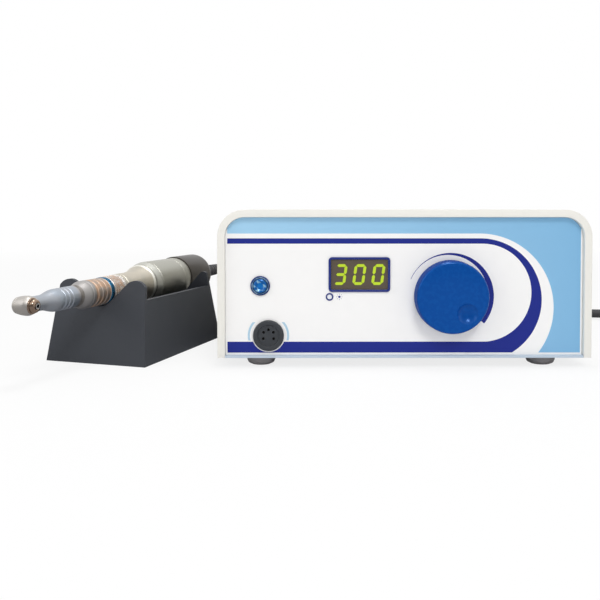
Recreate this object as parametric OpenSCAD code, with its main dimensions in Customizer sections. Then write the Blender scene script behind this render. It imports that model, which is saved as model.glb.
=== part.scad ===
// Dental micromotor set: a control unit, a stand, and a motor handpiece with a right-angle head.
// Millimetres, +Z up. The origin is on the table under the middle of the control unit,
// whose front faces -Y.

/* [Case] */
// Width of the case
case_w = 250; // [235:1:270]
// Height of the case without its feet
case_h = 99; // [94:1:115]
// Depth of the case
case_d = 190; // [180:1:220]
// Radius of the cover's two upper edges
case_r = 18; // [12:1:24]
// Wall of the cover
cover_wall = 3; // [2:0.5:4]
// Width of the rim round each end of the cover
rim_w = 5; // [4.5:0.5:7]
// How far the panels are set back behind the rim
rim_d = 4; // [3:0.5:6]
// Thickness of the base tray
tray_t = 1.5; // [1.2:0.1:2.5]
// Thickness of the front and rear panels
panel_t = 2.5; // [2:0.5:3]
// Thickness of the printed film on the front panel
film_t = 0.5; // [0.3:0.1:0.8]
// Gap where the panels and the tray fit in the cover
case_gap = 0.2; // [0.1:0.05:0.4]

/* [Feet and screws] */
// Height of the rubber feet
foot_h = 7; // [5:0.5:12]
// Radius of the rubber feet at the top
foot_r = 10; // [8:0.5:13]
// Distance of the feet from each side of the case
foot_from_side = 28.5; // [26:0.5:40]
// Distance of the feet from each end of the case
foot_inset = 18; // [15:0.5:25]
// Radius of the screws' shanks
screw_r = 1.5; // [1.2:0.1:2]
// Radius of the screws' heads
screw_head_r = 3; // [2.6:0.1:3.5]
// Height of the screws' heads
screw_head_h = 2; // [1.5:0.1:2.5]
// Side of the square posts that take the cover's screws
post_w = 9; // [7:0.5:11]
// Height of those posts
post_h = 40; // [20:1:60]

/* [Display] */
// Middle of the display across the panel
display_x = -30; // [-36:0.5:-26]
// Middle of the display above the bottom of the case
display_z = 55.5; // [52:0.5:60]
// Width of the display module
display_w = 38; // [36:0.5:40]
// Height of the display module
display_h = 20; // [18:0.5:22]
// Depth of the display module
display_d = 8; // [6:0.5:10]
// Width of the frame round the display
display_frame = 1.7; // [1.2:0.1:3]
// How far that frame stands out of the film
display_frame_t = 1; // [0.6:0.1:1.5]
// Height of the digits
digit_h = 14; // [10:0.5:15]
// Width of the digits
digit_w = 8; // [6:0.5:9]
// Distance from digit to digit
digit_pitch = 12.7; // [11:0.1:13]
// Stroke of the digits' segments
digit_stroke = 1.9; // [1.4:0.1:2.2]
// Slant of the digits, degrees
digit_slant = 8; // [0:1:12]
// Radius of the run lamp's ring
lamp_r = 2.6; // [2.3:0.1:3]
// Middle of the run lamp across the panel
lamp_x = -50; // [-54:0.5:-44]
// Middle of the run lamp above the bottom of the case
lamp_z = 40.5; // [38:0.5:41]

/* [Select button] */
// Middle of the button from the case's left side
select_from_side = 28.5; // [25:0.5:35]
// Middle of the button above the bottom of the case
select_z = 48; // [42:0.5:56]
// Outer radius of the button's ring
select_ring_r = 6.6; // [6:0.1:8]
// Radius of the button
select_r = 4.9; // [4:0.1:5.2]
// Travel of the button
select_travel = 1.2; // [0.8:0.1:1.5]

/* [Motor socket] */
// Middle of the socket from the case's left side
socket_from_side = 34; // [30:0.5:40]
// Middle of the socket above the bottom of the case
socket_z = 14.5; // [14.2:0.1:18]
// Radius of the socket's flange
socket_r = 10.4; // [9.8:0.1:10.6]
// Radius of the socket's barrel behind the panel
socket_barrel_r = 8.6; // [8.2:0.1:9]
// Depth of the socket behind the panel
socket_depth = 16; // [12:0.5:20]
// Radius of the circle on which the contacts lie
contact_circle_r = 4; // [3.6:0.1:4.4]
// Outer radius of a contact
contact_r = 0.9; // [0.7:0.05:1]

/* [Speed knob] */
// Axis of the knob across the panel
knob_x = 31; // [26:0.5:36]
// Axis of the knob above the bottom of the case
knob_z = 41; // [36:0.5:46]
// Radius of the knob at its skirt
knob_r = 24.6; // [22:0.1:28]
// Height of the knob
knob_h = 11; // [10:0.5:16]
// Radius of the finger dimple
dimple_r = 6.5; // [5:0.5:7]
// Depth of the finger dimple
dimple_d = 2.2; // [1:0.1:2.5]
// Distance of the dimple from the knob's axis
dimple_at = 14; // [12:0.5:15]
// Direction of the dimple at full speed, degrees from +X
dimple_angle = -44; // [-60:1:-30]
// Radius of the potentiometer's shaft
pot_shaft_r = 3; // [2.5:0.1:3.2]
// Radius of the potentiometer's body
pot_r = 12; // [9:0.5:14]
// Depth of the potentiometer's body
pot_d = 11; // [8:0.5:14]

/* [Rear panel] */
// Middle of the power switch from the case's side
rocker_from_side = 40; // [30:1:55]
// Middle of the power switch above the bottom of the case
rocker_z = 64; // [56:1:70]
// Swing of the rocker, degrees
rocker_swing = 16; // [10:1:18]
// Middle of the foot control jack from the case's side
jack_from_side = 40; // [30:1:55]
// Middle of the foot control jack above the bottom of the case
jack_z = 40; // [30:1:55]
// Radius of the jack's bore
jack_bore_r = 3.2; // [1.8:0.1:3.4]
// Depth of the jack's bore
jack_bore_d = 15; // [12:0.5:18]
// Middle of the mains cord's gland from the case's side
gland_from_side = 40; // [36:1:44]
// Middle of the mains cord's gland above the bottom of the case
gland_z = 21; // [18:1:24]
// Length of the gland's tapered sleeve
gland_l = 34; // [25:1:45]

/* [Inside the case] */
// Width of the main board
board_w = 120; // [90:1:130]
// Depth of the main board
board_d = 100; // [80:1:105]
// Thickness of the boards
board_t = 1.6; // [1:0.1:2]
// Height of the main board above the tray
board_rise = 8; // [5:0.5:12]
// Width of the transformer's core
core_w = 56; // [44:1:60]
// Depth of the transformer's core
core_d = 30; // [24:1:36]
// Height of the transformer's core
core_h = 47; // [38:1:54]
// Height of the heat sink's fins
fin_h = 26; // [18:1:34]

/* [Stand] */
// Middle of the stand from the middle of the case, across
stand_x = -192; // [-215:1:-188]
// Middle of the stand from the middle of the case, along
stand_y = -22; // [-30:1:-15]
// Turn of the stand, degrees
stand_turn = 18; // [12:1:24]
// Width of the stand's base
stand_w = 78; // [72:1:84]
// Length of the stand's base
stand_l = 123; // [118:1:130]
// Wall of the stand
stand_wall = 3; // [2:0.5:4]
// Height of the stand's side walls
stand_side_h = 44; // [40:0.5:51]
// Height of the front horns
horn_front_h = 57; // [55:0.5:62]
// Height of the rear horns
horn_rear_h = 55.5; // [51.5:0.5:58]
// Lean of the side walls, degrees
lean_side = 5.5; // [3:0.5:8]
// Lean of the front wall, degrees
lean_front = 10; // [6:0.5:12]
// Lean of the rear wall, degrees
lean_rear = 13; // [10:0.5:15]
// Gap between the handpiece and the notches that hold it
notch_gap = 0.3; // [0.2:0.05:0.6]

/* [Handpiece] */
// Height of the handpiece's axis above the table
hand_z = 49.2; // [46:0.1:52]
// Distance from the head's axis to the middle of the stand
hand_reach = 132.5; // [130:0.5:135]
// Radius of the motor's body
motor_r = 16.2; // [15.4:0.1:16.6]
// Bore of the motor's body
motor_bore_r = 12.6; // [12:0.1:13]
// Radius of the rear cap
cap_r = 17.1; // [16.8:0.1:18]
// Length of the rear cap
cap_l = 45; // [41:0.5:50]
// Length of the motor's body between its rings and the cap
body_l = 47; // [43:0.5:49]
// Length of the stepped rings
rings_l = 10; // [9.5:0.5:12]
// Length of the front cone
cone_l = 32.5; // [28:0.5:35]
// Radius of the chuck ring
chuck_r = 10.1; // [9.6:0.1:10.5]
// Length of the chuck ring with its gaps
chuck_l = 16; // [14:0.5:18]
// Radius of the blue marker ring
marker_r = 9.7; // [9.2:0.1:10]
// Length of the blue marker ring
marker_l = 3.5; // [3:0.5:5]
// Radius of the ribbed nose
nose_r = 9.4; // [9:0.1:9.6]
// Length of the nose's ribs
ribs_l = 20; // [18:0.5:22]
// Number of ribs on the nose
rib_count = 4; // [3:1:6]
// Length of the nose's dome
dome_l = 8; // [7:0.5:10]
// Radius of the nose's tube
tube_r = 7.5; // [7:0.1:7.8]
// Radius of the motor's shaft
shaft_r = 2; // [1.6:0.1:2.4]
// Gap of the running fits
run_gap = 0.1; // [0.05:0.01:0.15]
// Gap of the press fits
press_gap = 0.02; // [0.01:0.01:0.04]
// Length of the cord's boot behind the cap
boot_l = 45; // [40:0.5:48]
// Radius of the cord's boot at the cap
boot_r = 5.9; // [5.2:0.1:6.4]

/* [Right-angle head] */
// Radius of the head
head_r = 6; // [5.8:0.1:6.4]
// Head's front face from the handpiece's axis
head_front = 5.6; // [5.4:0.1:6.2]
// Joint of the head's back cap from the handpiece's axis
head_back = 4; // [3.9:0.1:4.6]
// Height of the head's back cap
head_cap_h = 3.7; // [3.5:0.1:4.5]
// Radius of the brass bush
bush_r = 4.3; // [3.9:0.1:4.4]
// How far the brass bush stands out
bush_out = 2.9; // [2:0.1:3.5]
// Radius of the bur shank's bore
bur_bore_r = 1.18; // [1:0.01:1.25]
// Radius of the neck
neck_r = 4.8; // [4.6:0.1:5.1]
// Length of the neck from the head's axis
neck_l = 15.5; // [14:0.5:17]
// Length of the flare from the neck to the sheath
flare_l = 10; // [8:0.5:12]
// Radius of the sheath
sheath_r = 7.1; // [6.8:0.1:7.4]
// Length of the sheath
sheath_l = 1.5; // [1:0.5:3]
// Length of the grooved collar
collar_l = 19.5; // [18:0.5:21]

/* [Cords] */
// Diameter of the handpiece's cord
hand_cord_d = 7; // [6:0.1:7.2]
// Diameter of the mains cord
mains_cord_d = 8; // [7:0.1:8.2]
// Gap between the turns of a coil
turn_gap = 0.7; // [0.5:0.1:0.8]
// Radius of the handpiece cord's outer turn
hand_coil_r = 50; // [46:0.5:54]
// Radius of the mains cord's outer turn
mains_coil_r = 60; // [54:0.5:62]
// Radius of the motor plug's coupling ring
motor_plug_r = 10; // [9:0.1:11]
// Length of the motor plug
motor_plug_l = 46; // [40:1:52]
// Width of the mains plug
mains_plug_w = 37; // [34:0.5:40]
// Length of the mains plug without its pins
mains_plug_l = 42; // [38:1:48]
// Thickness of the ties
tie_t = 0.9; // [0.6:0.1:1]
// Width of the ties
tie_w = 6; // [4:0.5:9]

/* [Hidden] */
$fn = 48;

// Colours
cream = [0.93, 0.92, 0.89];
navy = [0.16, 0.22, 0.53];
knob_blue = [0.08, 0.31, 0.63];
stand_black = [0.26, 0.27, 0.29];
rubber_black = [0.16, 0.16, 0.17];
steel = [0.75, 0.76, 0.77];
warm_grey = [0.72, 0.70, 0.66];
brass = [0.78, 0.6, 0.3];
copper = [0.72, 0.42, 0.25];
board_green = [0.1, 0.4, 0.22];

// Case
case_top = foot_h + case_h;
tray_top = foot_h + tray_t;
panel_front = -case_d / 2 + rim_d;
panel_back = panel_front + panel_t;
film_front = panel_front - film_t;
rear_out = case_d / 2 - rim_d;
rear_in = rear_out - panel_t;
foot_x = case_w / 2 - foot_from_side;
select_x = select_from_side - case_w / 2;
socket_x = socket_from_side - case_w / 2;
rocker_x = case_w / 2 - rocker_from_side;
jack_x = jack_from_side - case_w / 2;
gland_x = case_w / 2 - gland_from_side;
post_x = case_w / 2 - cover_wall - post_w / 2;
post_y = case_d / 2 - 30;
thread_bite = 8;
tab_w = 40;
tab_h = 10;
tab_at = [-40, 70];
lens_gap = 0.15;

// Front panel fittings
sleeve_t = 0.7;
ring_out = 1.5;
ring_in_r = select_r + 0.2;
button_out = 1.2;
button_in = 4.5;
lamp_ring_t = 0.6;
lamp_sleeve_t = 0.3;
flange_t = 2;
insert_back = 1;
socket_mouth_r = 7.2;
contact_angles = [-30, 35, 90, 145, 210];
contact_sink = 3;
contact_l = 6;
board_front = film_front + display_d;
nut_t = 2;
nut_r = 5.8;
bushing_r = pot_shaft_r + 0.8;
bushing_out = 2.6;
knob_lift = 0.5;
knob_wall = 3;
knob_face = 3.6;
knob_edge_r = 3;
knob_taper = 0.6;
knob_crown = 0.4;
hub_r = pot_shaft_r + 3;
hub_start = 3.2;

// Rear panel fittings
rocker_w = 11;
rocker_r = 8.2;
rocker_pin_r = 1;
rocker_back = 2;
housing_w = 16;
housing_h = 22;
housing_d = 13;
bezel_t = 2;
bezel_edge = 2;
jack_wall = 1.8;
jack_flange = 1.2;
gland_r = 7;
gland_flange_r = 9;
gland_flange_t = 3;
gland_in = 8;
gland_tip_r = mains_cord_d / 2 + 1;

// Inside the case
board_x = 40;
board_y = 5;
standoff_r = 3;
standoff_inset = 6;
core_x = -70;
core_y = 0;
fin_t = 2;
fin_count = 6;
fin_pitch = 6;
can_r = 8;
can_h = 26;
relay_size = [18, 14, 15];
header_size = [20, 6, 9];

// Stand
stand_floor = 3;
front_tan = tan(lean_front);
rear_tan = tan(lean_rear);
side_tan = tan(lean_side);
horn_tall = max(horn_front_h, horn_rear_h);
horn_over = 0.6;
cut_over = 0.5;
front_notch_r = max(marker_r, nose_r, chuck_r) + notch_gap;
rear_notch_r = motor_r + notch_gap;

// Stations along the handpiece, from the head's axis to the end of the boot
y_head = -hand_reach;
y_neck = y_head + neck_l;
y_sheath = y_neck + flare_l;
y_collar = y_sheath + sheath_l;
y_joint = y_collar + collar_l;
y_dome = y_joint + 4;
y_ribs = y_dome + dome_l;
y_marker = y_ribs + ribs_l;
y_chuck = y_marker + marker_l;
y_cone = y_chuck + chuck_l;
y_rings = y_cone + cone_l;
y_body = y_rings + rings_l;
y_cap = y_body + body_l;
y_tail = y_cap + cap_l;
y_boot = y_tail + boot_l;
part_gap = 0.3;
band_r = 6.3;
dome_start_r = 6.5;
cone_r = 10.3;
cone_wide_r = motor_r - 2.6;
cone_flare = 0.6 * cone_l;
land_r = motor_r - 1.8;
seat_r = cap_r - 2.4;
cap_wall = 6;
cap_round = 11;
boot_hole_gap = 0.15;
boot_flange = 2;
boot_tip_r = hand_cord_d / 2 + 1.2;

// Motor
tube_bore_r = 5.2;
tube_seat = 4;
spigot_r = 4.9;
spigot_l = 13;
collet_r = 3.2;
collet_bore_r = 1.2;
collet_l = 26;
core_r = motor_bore_r - 3.2;
magnet_in_r = core_r + 0.6;
magnet_from = y_body;
magnet_to = y_cap;
winding_r = core_r - 2;
winding_l = 5;
commutator_r = 4.5;
commutator_from = magnet_to + 8;
commutator_l = 10;
plate_from = commutator_from + commutator_l + 2;
plate_t = 5;
bearing_r = tube_bore_r;
bearing_l = 5;
front_bearing_y = y_ribs + 3;
middle_bearing_y = y_rings - 6;
brush_w = 4;
brush_gap = 0.1;

// Right-angle head
gear_from = 2;
gear_to = 3.4;
gear_gap = 0.12;
spindle_r = bur_bore_r + 0.57;
spindle_out = 0.5;
gear_room = head_back + 0.3;
spindle_tail = gear_room + 1.8;
cavity_r = head_r - 1.4;
head_end = head_back + head_cap_h;
head_wide = 1.8;
back_drop = 1.45;
front_drop = 1.5;
head_edge = 1.2;
cavity_front = head_front - 1.5;
bush_spigot_r = 3.4;
drive_r = 1.8;
shank_r = collet_bore_r - run_gap / 2;
gear_bore_r = 3.6;
gear_bore_l = 6.5;
bearing_bore_l = 14;
groove_d = 0.5;
bur_bore_l = head_front + bush_out + spindle_out + 2.5;

// Cords: each route runs from the end of a sleeve to the start of a coil
hand_cord_r = hand_cord_d / 2;
mains_cord_r = mains_cord_d / 2;
tie_lift = tie_t + 0.5;
loops_each_way = 3;
loop_rings = 24;
hand_coil_at = [-47, 215 - hand_coil_r];
mains_coil_at = [280, 120 - mains_coil_r];
hand_coil_z = hand_cord_r + tie_lift;
mains_coil_z = mains_cord_r + tie_lift;
hand_tail = 50;
mains_tail = 52;
plug_neck = 14;
hand_loops = 6;
mains_loops = 5.25;
boot_end = on_set([0, y_boot, hand_z]);
boot_way = on_set([0, y_boot + 12, hand_z]);
gland_end = [gland_x, rear_out + gland_flange_t + gland_l, foot_h + gland_z];
hand_route = concat([boot_end, boot_way], [
    [-138.5, 143, 48.4], [-134, 158, 46], [-131, 170, 39], [-127, 181, 29.5], [-122, 191, 20],
    [-116, 200, 12], [-108, 208, 7], [-98, 213, 5], [-86, 215, hand_coil_z],
    [-70, 215, hand_coil_z]
], [coil_start(hand_coil_at, hand_coil_r, hand_cord_d, hand_coil_z)]);
mains_route = concat([gland_end, gland_end + [0, 10, 0]], [
    [87, 150, 24], [92, 160, 17.5], [101, 167, 11], [113, 169.5, 7], [128, 166.5, mains_coil_z],
    [146, 157.5, mains_coil_z], [164, 146, mains_coil_z], [182, 134.5, mains_coil_z],
    [201, 125.5, mains_coil_z], [221, 121, mains_coil_z], [239, 120, mains_coil_z],
    [256, 120, mains_coil_z]
], [coil_start(mains_coil_at, mains_coil_r, mains_cord_d, mains_coil_z)]);
hand_turns = concat(
    coil_line(hand_coil_at, hand_coil_r, hand_cord_d, hand_coil_z, hand_loops),
    [for (p = [[30, 0], [43, 1], [hand_tail, 1]])
        let (top = hand_coil_z + hand_cord_d + turn_gap)
        [hand_coil_at.x + p[0], hand_coil_at.y + hand_coil_r, top + p[1] * (motor_plug_r - top)]]
);
mains_turns = concat(
    coil_line(mains_coil_at, mains_coil_r, mains_cord_d, mains_coil_z, mains_loops),
    [coil_point(mains_loops, mains_coil_at, mains_coil_r, mains_cord_d, mains_coil_z)
        - [0, mains_tail, 0]]
);

// A point of the stand's own axes in the frame of the set
function on_set(p) = [
    stand_x + p.x * cos(stand_turn) + p.y * sin(stand_turn),
    stand_y - p.x * sin(stand_turn) + p.y * cos(stand_turn),
    p.z
];

function unit_of(v) = v / norm(v);

function heading(line, i) =
    unit_of(line[min(i + 1, len(line) - 1)] - line[max(i - 1, 0)]);

function ring(centre, way, r, sides) =
    let (side = unit_of(cross(way, [0, 0, 1])), rise = cross(side, way))
    [for (k = [0 : sides - 1])
        centre + r * (cos(360 * k / sides) * side + sin(360 * k / sides) * rise)];

// Where a coil begins: one cord's diameter before its first turn, which starts along +X
function coil_start(at, r, d, z) = [at.x - d, at.y + r, z];

// Radius and height of a coil after a number of loops: in on the lower layer, out on the upper
function coil_radius(s, r, pitch) = r - pitch * (loops_each_way - abs(s - loops_each_way));

function coil_rise(s) =
    let (u = min(max((s - loops_each_way + 0.25) / 0.5, 0), 1)) u * u * (3 - 2 * u);

function coil_point(s, at, r, d, z) =
    let (pitch = d + turn_gap, a = 90 - 360 * s, q = coil_radius(s, r, pitch))
    [at.x + q * cos(a), at.y + q * sin(a), z + pitch * coil_rise(s)];

function coil_line(at, r, d, z, loops) = concat(
    [coil_start(at, r, d, z)],
    [for (i = [0 : loops * loop_rings]) coil_point(i / loop_rings, at, r, d, z)]
);

// Least gap between points of a coil that lie more than half a loop apart
function least_gap(line, d) = min([
    for (i = [0 : len(line) - 2], j = [i + loop_rings / 2 : len(line) - 1])
        norm(line[i] - line[j]) - d
]);

echo(hand_coil_least_gap = least_gap(hand_turns, hand_cord_d));
echo(mains_coil_least_gap = least_gap(mains_turns, mains_cord_d));

// Shapes that repeat

// A box whose middle is given across and along, and its bottom in height
module slab(size, at) {
    translate(at - [size.x / 2, size.y / 2, 0]) cube(size);
}

module rod_y(r, from, to) {
    translate([0, from, 0]) rotate([-90, 0, 0]) cylinder(r = r, h = to - from);
}

module rod_x(r, from, to) {
    translate([from, 0, 0]) rotate([0, 90, 0]) cylinder(r = r, h = to - from);
}

// A turned piece whose outline gives radius and place along Y
module turned(outline) {
    rotate([-90, 0, 0]) rotate_extrude() polygon(outline);
}

// A turned piece whose outline gives radius and place along X
module turned_x(outline) {
    rotate([0, 90, 0]) rotate_extrude() polygon(outline);
}

// An outline across and up, drawn out along Y
module along_depth(from, to) {
    translate([0, to, 0]) rotate([90, 0, 0]) linear_extrude(to - from) children();
}

// An outline along and up, drawn out both ways along X
module across_width(w) {
    rotate([90, 0, 90]) translate([0, 0, -w / 2]) linear_extrude(w) children();
}

// A place on the film, with local +Z towards the user and local +Y up
module at_panel(x, z) {
    translate([x, film_front, foot_h + z]) rotate([90, 0, 0]) children();
}

// A place on the rear panel, with local +Z away from the case
module at_rear(x, z) {
    translate([x, rear_out, foot_h + z]) rotate([-90, 0, 0]) children();
}

module at_each_foot() {
    for (x = [-foot_x, foot_x], y = [-1, 1] * (case_d / 2 - foot_inset)) {
        translate([x, y, 0]) children();
    }
}

module at_each_post() {
    for (x = [-post_x, post_x], y = [-post_y, post_y]) {
        translate([x, y, 0]) children();
    }
}

module on_stand() {
    translate([stand_x, stand_y, 0]) rotate([0, 0, -stand_turn]) children();
}

module on_hand() {
    on_stand() translate([0, 0, hand_z]) children();
}

module on_head() {
    on_hand() translate([0, y_head, 0]) children();
}

module rounded(w, h, r) {
    square([w - 2 * r, h], center = true);
    square([w, h - 2 * r], center = true);
    for (x = [-1, 1] * (w / 2 - r), y = [-1, 1] * (h / 2 - r)) {
        translate([x, y]) circle(r);
    }
}

// The case seen from the front, drawn in by an inset at the sides and the top
module end_outline(inset, low) {
    half = case_w / 2 - inset;
    r = case_r - inset;
    top = case_top - inset;
    translate([-half, low]) square([2 * half, top - r - low]);
    translate([r - half, low]) square([2 * (half - r), top - low]);
    for (x = [-1, 1] * (half - r)) {
        translate([x, top - r]) circle(r);
    }
}

// A tube of triangles through the points of a line
module tube(line, r, sides) {
    count = len(line);
    rings = [for (i = [0 : count - 1]) each ring(line[i], heading(line, i), r, sides)];
    walls = [
        for (i = [0 : count - 2], k = [0 : sides - 1])
            let (
                a = i * sides + k,
                b = i * sides + (k + 1) % sides
            )
            each [[a, b, a + sides], [b, b + sides, a + sides]]
    ];
    first = [for (k = [1 : sides - 2]) [0, k + 1, k]];
    end = (count - 1) * sides;
    last = [for (k = [1 : sides - 2]) [end, end + k, end + k + 1]];
    polyhedron(rings, concat(walls, first, last));
}

// Control unit: case

module case_cover() {
    color(cream) {
        difference() {
            along_depth(-case_d / 2, case_d / 2) end_outline(0, foot_h);
            along_depth(-case_d / 2 - 1, case_d / 2 + 1) end_outline(rim_w, foot_h - 1);
            along_depth(-case_d / 2 + rim_d, case_d / 2 - rim_d)
                end_outline(cover_wall, foot_h - 1);
        }
        difference() {
            at_each_post() slab([post_w, post_w, post_h], [0, 0, tray_top]);
            at_each_post() cylinder(r = screw_r + press_gap, h = tray_top + thread_bite + 1);
        }
    }
}

module base_tray() {
    inner_w = case_w - 2 * (cover_wall + case_gap);
    mouth_w = case_w - 2 * (rim_w + case_gap);
    color(cream) difference() {
        union() {
            slab([inner_w, case_d - 2 * rim_d, tray_t], [0, 0, foot_h]);
            slab([mouth_w, case_d, tray_t], [0, 0, foot_h]);
            for (x = tab_at, y = [panel_back + tray_t / 2, rear_in - tray_t / 2]) {
                slab([tab_w, tray_t, tab_h], [x, y, tray_top]);
            }
            at_each_standoff() cylinder(r = standoff_r, h = board_rise);
        }
        at_each_foot() cylinder(r = screw_r + press_gap, h = tray_top + 1);
        at_each_post() cylinder(r = screw_r + case_gap, h = tray_top + 1);
    }
}

module at_each_standoff() {
    half_w = board_w / 2 - standoff_inset;
    half_d = board_d / 2 - standoff_inset;
    for (x = [-half_w, half_w], y = [-half_d, half_d]) {
        translate([board_x + x, board_y + y, tray_top]) children();
    }
}

// The front openings that the panel and the film share, wider by a margin
module front_openings(margin, depth) {
    at_panel(display_x, display_z) translate([0, 0, -depth])
        linear_extrude(2 * depth)
            square([display_w + 2 * (lens_gap + margin), display_h + 2 * (lens_gap + margin)],
                center = true);
    at_panel(select_x, select_z)
        cylinder(r = ring_in_r + sleeve_t + margin + press_gap, h = 2 * depth, center = true);
    at_panel(lamp_x, lamp_z)
        cylinder(r = lamp_r - lamp_ring_t + margin + press_gap, h = 2 * depth, center = true);
    at_panel(socket_x, socket_z)
        cylinder(r = socket_barrel_r + margin + press_gap, h = 2 * depth, center = true);
    at_panel(knob_x, knob_z)
        cylinder(r = bushing_r + margin + press_gap, h = 2 * depth, center = true);
}

module front_panel() {
    color("white") difference() {
        along_depth(panel_front, panel_back) end_outline(cover_wall + case_gap, tray_top);
        front_openings(0, 10);
    }
}

module panel_film() {
    color("white") difference() {
        along_depth(film_front, panel_front) end_outline(rim_w + case_gap, tray_top);
        front_openings(0.05, 10);
    }
}

module rear_panel() {
    vent_w = 3;
    vent_h = 30;
    vent_pitch = 8;
    each_side = 4;
    color(cream) difference() {
        along_depth(rear_in, rear_out) end_outline(cover_wall + case_gap, tray_top);
        at_rear(rocker_x, rocker_z)
            slab([housing_w + 2 * press_gap, housing_h + 2 * press_gap, 20], [0, 0, -10]);
        at_rear(jack_x, jack_z)
            cylinder(r = jack_bore_r + jack_wall + press_gap, h = 20, center = true);
        at_rear(gland_x, gland_z)
            cylinder(r = gland_r + press_gap, h = 20, center = true);
        for (i = [-each_side : each_side]) {
            translate([vent_pitch * i, rear_out, foot_h + case_h / 2])
                slab([vent_w, 20, vent_h], [0, 0, 0]);
        }
    }
}

module rubber_feet() {
    recess_r = screw_head_r + 0.5;
    recess_h = screw_head_h + 0.8;
    color(rubber_black) at_each_foot() rotate_extrude() polygon([
        [recess_r, 0], [foot_r - 3, 0], [foot_r - 1.2, 1], [foot_r - 0.3, 3], [foot_r, foot_h],
        [screw_r + press_gap, foot_h], [screw_r + press_gap, recess_h], [recess_r, recess_h]
    ]);
}

module foot_screws() {
    color(steel) at_each_foot() {
        translate([0, 0, 0.8]) cylinder(r = screw_head_r, h = screw_head_h);
        translate([0, 0, 0.8]) cylinder(r = screw_r, h = tray_top + 2);
    }
}

module cover_screws() {
    color(steel) at_each_post() {
        translate([0, 0, foot_h - screw_head_h]) cylinder(r = screw_head_r, h = screw_head_h);
        translate([0, 0, foot_h - screw_head_h])
            cylinder(r = screw_r, h = screw_head_h + tray_t + thread_bite - 1);
    }
}

// Control unit: front panel fittings

module display_frame_ring() {
    color(navy) at_panel(display_x, display_z) linear_extrude(display_frame_t) difference() {
        rounded(display_w + 2 * display_frame, display_h + 2 * display_frame, 2.4);
        rounded(display_w + 2 * lens_gap, display_h + 2 * lens_gap, 0.8);
    }
}

module display_module() {
    color([0.3, 0.26, 0.22]) at_panel(display_x, display_z)
        slab([display_w, display_h, display_d], [0, 0, -display_d]);
}

// One segment as a bar with pointed ends, slanted with its digit
function segment(at, way) =
    let (
        across = [-way.y, way.x],
        h = digit_stroke / 2,
        flat = [
            at - way, at - way * (1 - h / norm(way)) + unit_of(across) * h,
            at + way * (1 - h / norm(way)) + unit_of(across) * h, at + way,
            at + way * (1 - h / norm(way)) - unit_of(across) * h,
            at - way * (1 - h / norm(way)) - unit_of(across) * h
        ]
    )
    [for (p = flat) [p.x + p.y * tan(digit_slant), p.y]];

module digit(lit) {
    half_w = (digit_w - digit_stroke) / 2;
    half_h = (digit_h - digit_stroke) / 4;
    level = [half_w - 0.15, 0];
    upright = [0, half_h - 0.15];
    places = [
        [[0, 2 * half_h], level], [[half_w, half_h], upright], [[half_w, -half_h], upright],
        [[0, -2 * half_h], level], [[-half_w, -half_h], upright], [[-half_w, half_h], upright],
        [[0, 0], level]
    ];
    for (i = lit) {
        polygon(segment(places[i][0], places[i][1]));
    }
}

module display_digits() {
    three = [0, 1, 2, 3, 6];
    zero = [0, 1, 2, 3, 4, 5];
    shown = [three, zero, zero];
    color([0.75, 0.86, 0.16]) at_panel(display_x, display_z) for (i = [0 : 2]) {
        translate([(i - 1) * digit_pitch, 0, 0]) linear_extrude(0.25) digit(shown[i]);
    }
}

module display_board() {
    left = select_x - 8;
    right = display_x + display_w / 2 + 4;
    low = lamp_z - 7;
    high = display_z + display_h / 2 + 6;
    color(board_green) translate([left, board_front, foot_h + low])
        cube([right - left, board_t, high - low]);
}

module run_lamp() {
    lens_r = lamp_r - lamp_ring_t - lamp_sleeve_t;
    color("white") at_panel(lamp_x, lamp_z) {
        translate([0, 0, -display_d]) cylinder(r = lens_r, h = display_d + 0.4);
        translate([0, 0, 0.4]) cylinder(r1 = lens_r, r2 = lens_r - 0.4, h = 0.3);
    }
}

module lamp_ring() {
    bore = lamp_r - lamp_ring_t - lamp_sleeve_t + press_gap;
    color(navy) at_panel(lamp_x, lamp_z) rotate_extrude() polygon([
        [bore, -film_t - panel_t], [lamp_r - lamp_ring_t, -film_t - panel_t],
        [lamp_r - lamp_ring_t, 0], [lamp_r, 0], [lamp_r, 0.3], [lamp_r - 0.3, 0.6], [bore, 0.6]
    ]);
}

module select_ring() {
    color(navy) at_panel(select_x, select_z) rotate_extrude() polygon([
        [ring_in_r, -film_t - panel_t], [ring_in_r + sleeve_t, -film_t - panel_t],
        [ring_in_r + sleeve_t, 0], [select_ring_r, 0], [select_ring_r, ring_out - 0.6],
        [select_ring_r - 0.6, ring_out], [ring_in_r, ring_out]
    ]);
}

module select_button() {
    crown = ring_out + button_out;
    color([0.2, 0.55, 0.85]) at_panel(select_x, select_z) rotate_extrude() polygon([
        [0, -button_in], [select_r, -button_in], [select_r, ring_out],
        [select_r - 0.3, crown - 0.5], [select_r - 1, crown], [2.4, crown], [1.8, crown - 0.4],
        [0, crown - 0.4]
    ]);
}

module select_switch() {
    front = -button_in - select_travel - 0.2;
    color(rubber_black) at_panel(select_x, select_z)
        slab([8, 8, display_d + front], [0, 0, -display_d]);
}

module motor_socket() {
    color(rubber_black) at_panel(socket_x, socket_z) rotate_extrude() polygon([
        [socket_mouth_r, -socket_depth], [socket_barrel_r, -socket_depth], [socket_barrel_r, 0],
        [socket_r, 0], [socket_r, flange_t - 0.5], [socket_r - 0.5, flange_t],
        [socket_mouth_r + 0.4, flange_t], [socket_mouth_r, flange_t - 0.4]
    ]);
}

module at_each_contact() {
    for (a = contact_angles) {
        rotate(a) translate([contact_circle_r, 0, 0]) children();
    }
}

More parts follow.
